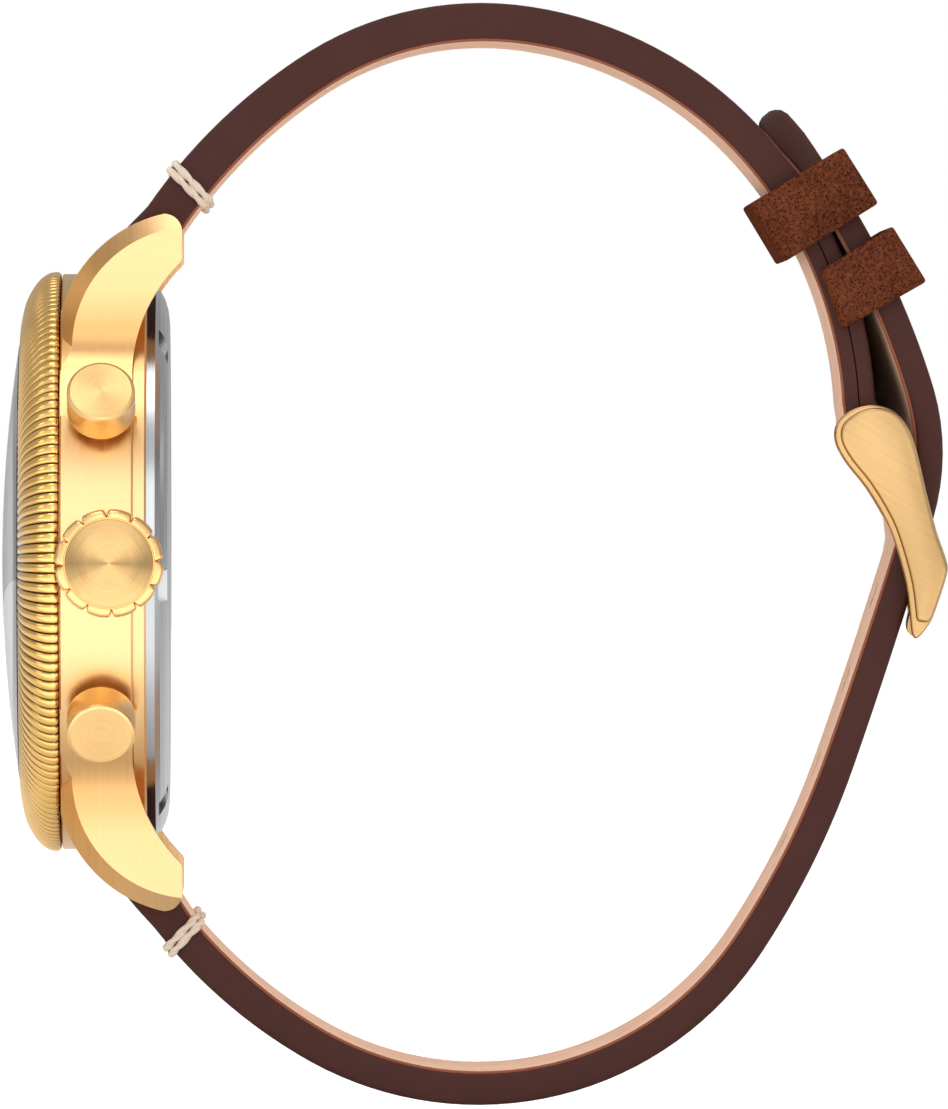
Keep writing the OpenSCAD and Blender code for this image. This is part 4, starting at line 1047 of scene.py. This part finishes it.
@dataclass
class Keeper:
    """One leather keeper: a closed loop round both straps, given by its four corners seen from the side."""

    name: str
    node: str
    body: str
    inner_up: Point2
    outer_up: Point2
    outer_low: Point2
    inner_low: Point2
    wide_in: float = 20.7
    leather: float = 1.0
    round_in: float = 0.25
    rim: float = 0.22

    def loop(self, offset: float) -> list[Point2]:
        """Returns the loop's corners (x, share from the inner to the outer side) at an offset from its inside.

        Args:
            offset: how far outside the keeper's inner face, in millimetres.

        Returns:
            The corners.
        """
        high = float(np.linalg.norm(np.array(self.outer_up) - np.array(self.inner_up)))
        half_x = self.wide_in / 2 + offset
        half_n = high / 2 - self.leather + offset
        r = self.round_in + 0.35 * offset
        made = []
        for cx, cn, a0 in ((1, 1, 0), (-1, 1, 90), (-1, -1, 180), (1, -1, 270)):
            for a in range(0, 91, 15):
                x, n = r * unit(a0 + a)
                made.append((cx * (half_x - r) + x, cn * (half_n - r) + n))
        return [(x, (n + high / 2) / high) for x, n in made]

    def build(self) -> None:
        """Builds and dresses the keeper."""
        inner_up, outer_up, outer_low, inner_low = map(
            np.array, (self.inner_up, self.outer_up, self.outer_low, self.inner_low))
        length = float(np.linalg.norm(inner_up - inner_low))
        t, c = self.leather, self.rim
        profile = []
        for co, cv, a0 in ((1, 1, 0), (0, 1, 90), (0, 0, 180), (1, 0, 270)):
            for a in (0, 30, 60, 90):
                o, v = c * unit(a0 + a)
                profile.append(((t - c if co else c) + o, ((length - c if cv else c) + v) / length))
        rows = {o: self.loop(o) for o in {p[0] for p in profile}}
        sections = []
        for k in range(len(rows[profile[0][0]])):
            section = []
            for o, v in profile:
                x, f = rows[o][k]
                up, low = inner_up + (outer_up - inner_up) * f, inner_low + (outer_low - inner_low) * f
                section.append([x, *(low + (up - low) * v)])
            sections.append(np.array(section))
        piece = Shop.loft(self.name, sections, closed=True)
        Shop.finish(piece, self.body, [self.node], "keeper_leather", [Finish.KEEPER])


@dataclass
class EdgeStitches:
    """Two twisted threads side by side, wrapped round each strap edge near the lugs."""

    reach: float = 2.0
    ply: float = 0.21
    twist: float = 0.09
    pitch: float = 2.7
    spread: float = 0.27
    gap: float = 0.03
    corner: float = 0.35
    tuck: float = 0.3
    count: int = 64
    across: Point3 = (0.0, 0.38, 0.92)

    def path(self, chain: Chain, s: float, thick: float, side: int, shift: float, slant: float) -> np.ndarray:
        """Returns the points of one thread round an edge.

        Args:
            chain: the strap's centre line.
            s: length along it.
            thick: the strap's thickness there.
            side: 1 for the edge towards the crown, -1 for the other.
            shift: how far along the strap the thread lies off s.
            slant: how far it leans along the strap from its inner to its outer face.

        Returns:
            The points, one row each.
        """
        half, r, tuck = thick / 2 + self.ply + self.gap, self.corner, self.tuck
        edge = Strap.lug_half_width + self.ply + self.gap
        flat = [(edge - self.reach, -half + tuck), (edge - self.reach + tuck, -half)]
        flat += [(edge - r + r * math.sin(a), -half + r - r * math.cos(a)) for a in np.linspace(0, math.pi / 2, 5)]
        flat += [(edge, n) for n in np.linspace(-half + r, half - r, 6)[1:-1]]
        flat += [(edge - r + r * math.cos(a), half - r + r * math.sin(a)) for a in np.linspace(0, math.pi / 2, 5)]
        flat += [(edge - self.reach + tuck, half), (edge - self.reach, half - tuck)]
        made = []
        for x, n in flat:
            p, heading = chain.at(s + shift + slant * n)
            made.append([side * x, *(p + n * left(heading))])
        return np.array(made)

    def strand(self, points: np.ndarray, phase: float) -> Piece:
        """Returns one ply that winds round a thread.

        Args:
            points: the thread's points in millimetres.
            phase: the ply's start angle.

        Returns:
            The ply's piece.
        """
        runs = np.concatenate([[0], np.cumsum(np.linalg.norm(np.diff(points, axis=0), axis=1))])
        at = np.linspace(0, runs[-1], self.count)
        line = np.stack([np.interp(at, runs, points[:, k]) for k in range(3)], axis=1)
        ahead = np.gradient(line, axis=0)
        ahead /= np.linalg.norm(ahead, axis=1)[:, None]
        side = np.cross(ahead, np.array(self.across))
        side /= np.linalg.norm(side, axis=1)[:, None]
        up = np.cross(ahead, side)
        sections = []
        for k in range(self.count):
            turn = phase + 2 * math.pi * at[k] / self.pitch
            heart = line[k] + self.twist * (math.cos(turn) * side[k] + math.sin(turn) * up[k])
            loop = [heart + self.ply * (math.cos(b) * side[k] + math.sin(b) * up[k])
                    for b in np.linspace(0, 2 * math.pi, 9)[:-1]]
            sections.append(np.array(loop))
        return Shop.loft("ply", sections)

    def build(self, straps: StrapSet) -> None:
        """Builds and dresses all four stitches.

        Args:
            straps: the straps that they hold.
        """
        plies = []
        for chain, s, thick, slant in ((straps.short_chain, 2.95, 3.05, 0.13), (straps.long_chain, 0.55, 2.6, -0.1)):
            for side in (1, -1):
                for shift in (-self.spread, self.spread):
                    path = self.path(chain, s, thick, side, shift, slant)
                    for phase in (0.0, math.pi):
                        plies.append(self.strand(path, phase + shift))
        piece = Shop.join("edge_stitch_threads", plies)
        Shop.finish(piece, "case", ["edge_stitches"], "stitch_thread", [Finish.THREAD], 60)


# ------------------------------------------------------------------ case


@dataclass
class Bezel:
    """The domed bezel with its fine radial ribs."""

    ribs: int = 180
    steps: int = 8
    depth: float = 0.17

    def profile(self) -> list[tuple[float, float, float]]:
        """Returns the closed profile (radius, height, share of the ribs' depth).

        Returns:
            The profile's corners.
        """
        dome = [(20.55, 7.85, 0.0), (20.8, 7.86, 0.5), (20.95, 7.97, 0.9), (21.0, 8.15, 1), (20.98, 8.45, 1),
                (20.9, 8.75, 1), (20.73, 9.04, 1), (20.5, 9.34, 1), (20.2, 9.61, 1), (19.85, 9.86, 1),
                (19.4, 10.13, 1), (18.9, 10.36, 1), (18.4, 10.52, 1), (17.8, 10.65, 1), (17.2, 10.76, 1),
                (16.7, 10.82, 0.95), (16.35, 10.84, 0.6), (16.12, 10.8, 0.2), (16.05, 10.7, 0.0)]
        return dome + [(16.05, 9.3, 0.0), (18.95, 9.3, 0.0), (18.95, 7.85, 0.0)]

    def build(self) -> None:
        """Builds and dresses the bezel."""
        rows = self.profile()
        loop = np.array([[r, -z, 0] for r, z, _ in rows])
        piece = Shop.ring("bezel_ribbed", loop)
        bpy.ops.object.mode_set(mode="EDIT")
        bpy.ops.mesh.select_all(action="SELECT")
        bpy.ops.mesh.spin(steps=self.ribs * self.steps, angle=2 * math.pi, center=(0, 0, 0), axis=(0, 1, 0))
        bpy.ops.mesh.select_all(action="SELECT")
        bpy.ops.mesh.remove_doubles(threshold=1e-6)
        bpy.ops.mesh.normals_make_consistent(inside=False)
        bpy.ops.object.mode_set(mode="OBJECT")
        self.press_ribs(piece, rows)
        Shop.finish(piece, "case", ["bezel"], "gold_case", [Finish.BEZEL], 60)

    def press_ribs(self, piece: Piece, rows: list[tuple[float, float, float]]) -> None:
        """Presses the grooves between the ribs into the dome.

        Args:
            piece: the smooth ring.
            rows: its profile.
        """
        co = np.zeros(len(piece.data.vertices) * 3)
        piece.data.vertices.foreach_get("co", co)
        co = co.reshape(-1, 3) / MM
        r = np.hypot(co[:, 0], co[:, 2])
        angle = np.arctan2(co[:, 2], co[:, 0])
        table = np.array(rows)
        nearest = np.argmin((r[:, None] - table[:, 0]) ** 2 + (-co[:, 1][:, None] - table[:, 1]) ** 2, axis=1)
        slope = np.gradient(table[:, :2], axis=0)
        normal = np.stack([slope[:, 1], -slope[:, 0]], axis=1)
        normal /= np.maximum(1e-9, np.linalg.norm(normal, axis=1))[:, None]
        phase = (angle / (2 * math.pi) * self.ribs) % 1.0
        height = np.sqrt(np.clip(1 - (2 * phase - 1) ** 2, 0, 1))
        push = self.depth * (1 - height) * table[nearest, 2]
        inward = push * normal[nearest, 0]
        co[:, 0] -= inward * np.cos(angle)
        co[:, 2] -= inward * np.sin(angle)
        co[:, 1] += push * normal[nearest, 1]
        piece.data.vertices.foreach_set("co", (co * MM).astype(np.float32).ravel())
        piece.data.update()


@dataclass
class Crown:
    """The lobed crown with its turned end face."""

    axis_z: float = 4.19
    x0: float = 21.3
    x1: float = 25.3
    radius: float = 3.88
    lobes: int = 12
    notch_at: float = 3.0
    notch: float = 0.5
    face_r: float = 3.1
    shape: tuple[Point2, ...] = (
        (0, 1), (0.035, 0.55), (0.07, 0.25), (0.11, 0.1), (0.18, 0.03), (0.34, 0.0), (0.5, -0.02), (0.66, 0.0),
        (0.82, 0.03), (0.89, 0.1), (0.93, 0.25), (0.965, 0.55))

    def ring(self, x: float, r: float, notch: float = 0.0) -> np.ndarray:
        """Returns a loop at x: a circle, or the lobed outline where it has a notch.

        Args:
            x: its place along the axis.
            r: its radius.
            notch: depth of the notches between the lobes.

        Returns:
            The loop's corners, one row each.
        """
        made = []
        for k in range(self.lobes):
            for u, fall in self.shape:
                a, q = math.radians(self.notch_at + (k + u) * 360 / self.lobes), r - notch * fall
                made.append([x, -self.axis_z + q * math.cos(a), q * math.sin(a)])
        return np.array(made)

    def build(self) -> None:
        """Builds and dresses the crown, from its neck to the middle of its end face."""
        x0, x1 = self.x0, self.x1
        rim, neck = x1 - 0.16, x0 + 2.6
        lobed = ((x0 + 0.02, 0.4), (x0 + 0.2, 0.12), (x0 + 0.42, 0.0), (rim - 0.5, 0.0), (rim - 0.26, 0.04),
                 (rim - 0.1, 0.13), (rim, 0.3))
        sections = [self.ring(x, r) for x, r in ((neck, 0.4), (neck, 1.78), (x0, 1.78), (x0, 2.9))]
        sections += [self.ring(x, self.radius - inset, self.notch) for x, inset in lobed]
        sections += [self.ring(x, r) for x, r in (
            (rim + 0.01, 3.27), (rim - 0.07, 3.23), (rim - 0.07, 3.18), (x1 - 0.04, 3.14), (x1, 3.06), (x1 - 0.01, 1.5),
            (x1 - 0.01, 0.3))]
        piece = Shop.loft("crown_lobed", sections)
        for face in piece.data.polygons:
            y, z = face.center.y / MM + self.axis_z, face.center.z / MM
            face.material_index = 0 if face.center.x / MM > x1 - 0.1 and math.hypot(y, z) < self.face_r else 1
        Shop.finish(piece, "crown", ["crown"], "gold_case", [Finish.CROWN, Finish.CROWN_RIM], 40)


@dataclass
class Buckle:
    """The pin buckle: two side arms with raised faces, the bar that joins them, and the bent tongue."""

    x0: float = 10.3
    x1: float = 12.3
    side: tuple[Point2, ...] = (
        (50.75, 11.33), (52.22, 10.79), (53.16, 9.6), (53.75, 8.0), (54.37, 5.34), (54.9, 3.21),
        (55.28, 1.88), (55.71, 0.68), (55.98, -0.38), (55.79, -1.31), (55.23, -3.04), (54.69, -4.37),
        (53.85, -5.42), (53.42, -5.2), (53.24, -3.7), (52.97, -1.58), (52.3, 0.95), (51.55, 2.94),
        (50.13, 5.34), (48.79, 7.02), (48.01, 8.35), (47.85, 9.46), (48.26, 10.39), (49.33, 11.11))
    bar: tuple[Point2, ...] = (
        (54.9, 0.2), (55.15, -0.6), (54.95, -1.9), (54.5, -3.4), (54.15, -4.6), (53.7, -5.25), (53.2, -5.15),
        (53.1, -4.4), (53.5, -2.8), (54.0, -1.0))
    askew: float = 0.029
    rim: float = 0.42
    rim_least: float = 0.06
    face_end: float = -4.4
    face_thick: float = 0.8
    raised: float = 0.3
    bar_over: float = 0.6
    tongue_half: float = 1.0
    bore_r: float = 0.8
    arm_round: float = 0.35
    face_round: float = 0.26
    tongue_round: float = 0.22
    pin: Point2 = (50.7, 8.5)
    tongue_side: tuple[Point2, ...] = (
        (52.1, 8.2), (54.9, 2.9), (55.75, 1.1), (56.15, -0.4), (56.2, -1.5), (55.75, -1.85), (55.3, -1.3), (55.2, -0.3),
        (54.75, 0.9), (53.85, 2.5), (49.6, 9.2), (50.3, 9.9), (51.4, 9.6))

    def face(self, loop: Sequence[Point2]) -> list[Point2]:
        """Returns the arm's raised face: its outline drawn in, most on the side towards the case.

        Args:
            loop: the arm's outline.

        Returns:
            The face's outline.
        """
        p = np.array(loop, float)
        ahead = np.roll(p, -1, axis=0) - np.roll(p, 1, axis=0)
        ahead /= np.linalg.norm(ahead, axis=1)[:, None]
        area = float(np.sum(p[:, 0] * np.roll(p[:, 1], -1) - np.roll(p[:, 0], -1) * p[:, 1]))
        inward = np.stack([-ahead[:, 1], ahead[:, 0]], axis=1) * math.copysign(1.0, area)
        by = self.rim_least + (self.rim - self.rim_least) * np.clip(0.5 + 0.9 * inward[:, 0], 0, 1)
        return [(float(y), float(z)) for y, z in p + by[:, None] * inward if z > self.face_end]

    @staticmethod
    def smoothed(points: Sequence[Point2], steps: int = 3) -> list[Point2]:
        """Returns a closed loop that passes smoothly through the given points.

        Args:
            points: the points.
            steps: corners for each point.

        Returns:
            The loop's corners.
        """
        p = np.array(points, float)
        n = len(p)
        made = []
        for i in range(n):
            a, b, c, d = p[i - 1], p[i], p[(i + 1) % n], p[(i + 2) % n]
            for k in range(steps):
                t = k / steps
                q = 0.5 * (2 * b + (c - a) * t + (2 * a - 5 * b + 4 * c - d) * t * t + (3 * b - a - 3 * c + d) * t ** 3)
                made.append((float(q[0]), float(q[1])))
        return made

    def build(self) -> None:
        """Builds and dresses the frame and the tongue."""
        outline = self.smoothed(self.side)
        face = self.face(outline)
        x0, x1, inner = self.x0, self.x1, self.x1 - self.face_thick
        under = x1 - self.raised
        arms = [Shop.plate("arm", outline, *span, self.arm_round, 4) for span in ((x0, under), (-under, -x0))]
        arms += [Shop.plate("arm_face", face, *span, self.face_round) for span in ((inner, x1), (-x1, -inner))]
        bar = Shop.plate("bar", self.smoothed(self.bar, 4), -x0 - self.bar_over, x0 + self.bar_over, 0)
        piece = Shop.join("buckle_frame_brushed", [*arms, bar])
        for corner in piece.data.vertices:
            corner.co.y += self.askew * (self.x1 * MM - corner.co.x)
        Shop.finish(piece, "buckle", ["buckle_frame"], "gold_case", [Finish.BUCKLE], 40)
        half, r, (y, z) = self.tongue_half, self.bore_r, self.pin
        tongue = Shop.plate(
            "buckle_tongue_bent", self.smoothed(self.tongue_side, 4), -half, half, self.tongue_round)
        bore = [(y + r * math.cos(a), z + r * math.sin(a)) for a in np.linspace(0, 2 * math.pi, 33)[:-1]]
        Shop.cut(tongue, Shop.plate("bore", bore, -2 * half, 2 * half, 0))
        Shop.finish(tongue, "tongue", ["buckle_tongue"], "gold_case", [Finish.BUCKLE], 40)


# ------------------------------------------------------------------ dial


@dataclass
class DialPrint:
    """What is printed on the dial: the minute track, and the small dials' strokes and numbers."""

    face_y: float = -8.15
    small_y: float = -8.03
    counter_x: float = 7.0
    lift: float = 0.012
    track_r: float = 14.35
    major: Point2 = (0.75, 0.16)
    minor: Point2 = (0.45, 0.08)
    small_r: float = 4.05
    small_major: Point2 = (0.5, 0.1)
    small_minor: Point2 = (0.3, 0.05)
    number_r: float = 2.75
    pieces: list[Piece] = field(default_factory=list)

    def tick(self, centre: Point2, r0: float, r1: float, angle: float, wide: float, y: float) -> None:
        """Adds one printed stroke.

        Args:
            centre: centre (x, z) of the scale.
            r0: inner radius.
            r1: outer radius.
            angle: clockwise from 12 o'clock in degrees.
            wide: the stroke's width.
            y: height of the face that it is printed on.
        """
        a = math.radians(angle)
        out, side = np.array([math.sin(a), math.cos(a)]), np.array([math.cos(a), -math.sin(a)])
        flat = [np.array(centre) + r * out + s * wide / 2 * side for r, s in ((r0, -1), (r1, -1), (r1, 1), (r0, 1))]
        self.pieces.append(Shop.loft("tick", [np.array([[x, d, z] for x, z in flat]) for d in (y, y - self.lift)]))

    def number(self, text: str, centre: Point2, size: float, y: float) -> None:
        """Adds one upright number.

        Args:
            text: the digits.
            centre: its middle (x, z).
            size: height of the type.
            y: height of the face that it is printed on.
        """
        Shop.clear()
        bpy.ops.object.text_add()
        made = bpy.context.object
        made.data.body = text
        made.data.size = size * MM
        made.data.extrude = self.lift / 2 * MM
        made.data.align_x = made.data.align_y = "CENTER"
        made.data.resolution_u = 3
        made.location = (centre[0] * MM, (y - self.lift / 2) * MM, centre[1] * MM)
        made.rotation_euler = (math.pi / 2, 0, 0)
        Shop.pick(made)
        bpy.ops.object.convert(target="MESH")
        bpy.ops.object.transform_apply(location=True, rotation=True, scale=True)
        self.pieces.append(made)

    def build(self) -> None:
        """Builds and dresses the print."""
        for k in range(60):
            length, wide = self.major if k % 5 == 0 else self.minor
            self.tick((0, 0), self.track_r, self.track_r + length, k * 6, wide, self.face_y)
        small = ((-1, 60, 5, ("60", "15", "30", "45")), (1, 30, 1, ("30", "10", "20")))
        for sign, count, step, words in small:
            centre = (sign * self.counter_x, 0.0)
            for k in range(0, count, step):
                length, wide = self.small_major if k % 5 == 0 else self.small_minor
                self.tick(centre, self.small_r - length, self.small_r, k * 360 / count, wide, self.small_y)
            for k, word in enumerate(words):
                a, r = math.radians(k * 360 / len(words)), self.number_r
                self.number(word, (centre[0] + r * math.sin(a), r * math.cos(a)), 1.05, self.small_y)
        piece = Shop.join("dial_print", self.pieces)
        Shop.finish(piece, "case", [], "dark_hands", [Finish.INK], 30)


# ------------------------------------------------------------------ carried-over solids


@dataclass(frozen=True)
class Dressing:
    """The finish of every solid that keeps its own shape."""

    rules: tuple[tuple[Finish, tuple[str, ...]], ...] = (
        (Finish.CASE, ("case_middle", "pusher_tubes")),
        (Finish.PUSHER_UP, ("pusher_start",)),
        (Finish.PUSHER_DOWN, ("pusher_reset",)),
        (Finish.CRYSTAL, ("crystal",)),
        (Finish.CASE_BACK, ("case_back",)),
        (Finish.RUBBER, ("crystal_gasket", "case_back_gasket", "crown_gasket")),
        (Finish.DIAL, ("dial", "flange_ring")),
        (Finish.HAND_GOLD, ("hour_markers", "hour_hand", "minute_hand")),
        (Finish.DARK_HAND, ("chrono_seconds_hand", "running_seconds_hand", "minute_counter_hand")),
        (Finish.PLATE, ("movement_ring", "main_plate", "barrel_bridge", "train_bridge", "chrono_bridge",
                        "balance_cock")),
        (Finish.BLUED, ("movement_screws", "hairspring")),
        (Finish.RUBY, ("jewels",)),
        (Finish.BRASS, ("barrel", "centre_wheel", "hour_wheel", "minute_wheel", "third_wheel", "fourth_wheel",
                        "balance_wheel", "chrono_wheel", "minute_recorder_wheel")),
        (Finish.STEEL, ("lug_spring_bars", "crown_tube", "winding_stem", "buckle_spring_bar", "pusher_springs",
                        "ratchet_wheel", "crown_wheel", "cannon_pinion", "escape_wheel", "pallet_fork", "column_wheel",
                        "operating_lever", "reset_hammer")),
    )

    def dress(self, nodes: dict[str, Piece]) -> None:
        """Gives each kept solid its finish.

        Args:
            nodes: the part's solids by name.
        """
        for finish, names in self.rules:
            for name in names:
                solid = nodes[name]
                solid.data.materials.clear()
                solid.data.materials.append(finish.made())
        LOG.info("%d solids dressed", sum(len(names) for _, names in self.rules))


# ------------------------------------------------------------------ studio


@dataclass
class Studio:
    """The pale floor, the soft lights and the camera at the photograph's place."""

    eye: Point3 = (1282.0, 7.98, 7.0)
    aim: Point3 = (0.0, 22.05, 0.51)
    lens: float = 573.7
    floor_z: float = -41.2
    floor_half: float = 4.0
    fill: float = 0.84
    side_glow: float = 0.48

    def build(self) -> None:
        """Builds the studio."""
        bpy.context.scene.view_settings.view_transform = "Standard"
        self.camera()
        self.floor()
        self.world()
        self.lamp("front_strip", (1.7, 0.0, 0.05), (0, 0.02, 0), (0.45, 2.6), 4.3)
        self.lamp("top_box", (0.25, -0.15, 1.1), (0, 0.02, 0), (0.5, 0.5), 2.2)
        self.lamp("dial_box", (0.3, -1.2, 0.6), (0, 0, 0), (0.5, 0.5), 0.9)
        self.lamp("back_box", (-0.6, 1.2, 0.5), (0, 0.03, 0), (0.6, 0.6), 1.2)

    def camera(self) -> None:
        """Adds the camera that takes the photograph's view."""
        data = bpy.data.cameras.new("camera")
        data.sensor_width = 36.0
        data.lens = self.lens
        data.clip_start, data.clip_end = 0.05, 20.0
        bpy.context.scene.camera = self.stand("camera", data, Vector(self.eye) * MM, Vector(self.aim) * MM)

    @staticmethod
    def stand(name: str, data: bpy.types.ID, place: Vector, aim: Vector) -> Piece:
        """Stands a camera or lamp at a place and turns it to its aim.

        Args:
            name: the camera's or lamp's name.
            data: its settings.
            place: where it stands, in metres.
            aim: what it points at.

        Returns:
            The camera or lamp.
        """
        made = bpy.data.objects.new(name, data)
        bpy.context.scene.collection.objects.link(made)
        made.location = place
        made.rotation_euler = (aim - place).to_track_quat("-Z", "Y").to_euler()
        return made

    def floor(self) -> None:
        """Adds the pale floor, which keeps the watch's shadow."""
        Shop.clear()
        bpy.ops.mesh.primitive_plane_add(size=2 * self.floor_half, location=(0, 0, self.floor_z * MM))
        piece = bpy.context.object
        piece.name = "studio_floor"
        t = Tree(bpy.data.materials.new("floor_white"))
        t.fixed(Base_Color=(0.86, 0.86, 0.86, 1), Roughness=1.0, Specular_IOR_Level=0.0, Emission_Color=(1, 1, 1, 1))
        rays = t.add("LightPath").outputs
        near = self.smooth_step(t, t.apart(t.place())[0], 0.02, 0.07, 0.0, 0.95)
        shown = t.math("MAXIMUM", rays["Is Camera Ray"], rays["Is Transmission Ray"])
        glow = t.math("MAXIMUM", t.math("MULTIPLY", shown, 0.5), t.math("MULTIPLY", rays["Is Glossy Ray"], near))
        t.links.new(glow, t.shader.inputs["Emission Strength"])
        piece.data.materials.append(t.owner)

    def world(self) -> None:
        """Sets the world: white behind everything, softer on what it lights."""
        t = Tree(bpy.data.worlds.new("studio_world"))
        bpy.context.scene.world = t.owner
        rays = t.add("LightPath").outputs
        seen = t.math("MAXIMUM", rays["Is Camera Ray"], rays["Is Transmission Ray"])
        ahead = t.apart(t.add("TexCoord").outputs["Generated"])[0]
        room = self.smooth_step(t, ahead, -0.1, 0.9, self.side_glow, 1.0)
        soft = t.add("Mix", {0: rays["Is Diffuse Ray"], 2: room, 3: self.fill}).outputs[0]
        t.links.new(t.add("Mix", {0: seen, 2: soft, 3: 1.0}).outputs[0], t.shader.inputs["Strength"])
        t.fixed(Color=(1, 1, 1, 1))

    @staticmethod
    def smooth_step(t: Tree, value: Socket, low: float, high: float, start: float, end: float) -> Socket:
        """Returns a value that runs softly from start to end while another runs from low to high."""
        ends = {0: value, 1: low, 2: high, 3: start, 4: end}
        return t.add("MapRange", ends, interpolation_type="SMOOTHSTEP").outputs[0]

    @staticmethod
    def lamp(name: str, place: Point3, aim: Point3, size: Point2, power: float) -> None:
        """Adds one soft rectangular lamp.

        Args:
            name: the lamp's name.
            place: where it stands, in metres.
            aim: what it points at.
            size: its width and height.
            power: its power in watts.
        """
        data = bpy.data.lights.new(name, "AREA")
        data.shape = "RECTANGLE"
        data.size, data.size_y = size
        data.energy = power
        Studio.stand(name, data, Vector(place), Vector(aim))


# ------------------------------------------------------------------ the whole watch


def main() -> None:
    """Builds the studio and every piece, in order."""
    logging.basicConfig(level=logging.INFO, format="%(name)s %(message)s")
    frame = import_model()
    Studio().build()
    Dressing().dress(frame["nodes"])
    Bezel().build()
    Crown().build()
    Buckle().build()
    straps = StrapSet()
    straps.build()
    Keeper("free_keeper_leather", "free_keeper", "free_keeper",
           (41.79, 25.78), (48.5, 29.86), (51.03, 25.83), (44.3, 21.62)).build()
    Keeper("fixed_keeper_leather", "fixed_keeper", "case",
           (46.83, 20.96), (52.04, 24.2), (54.5, 20.2), (48.4, 16.75)).build()
    EdgeStitches().build(straps)
    DialPrint().build()


if __name__ == "__main__":
    main()
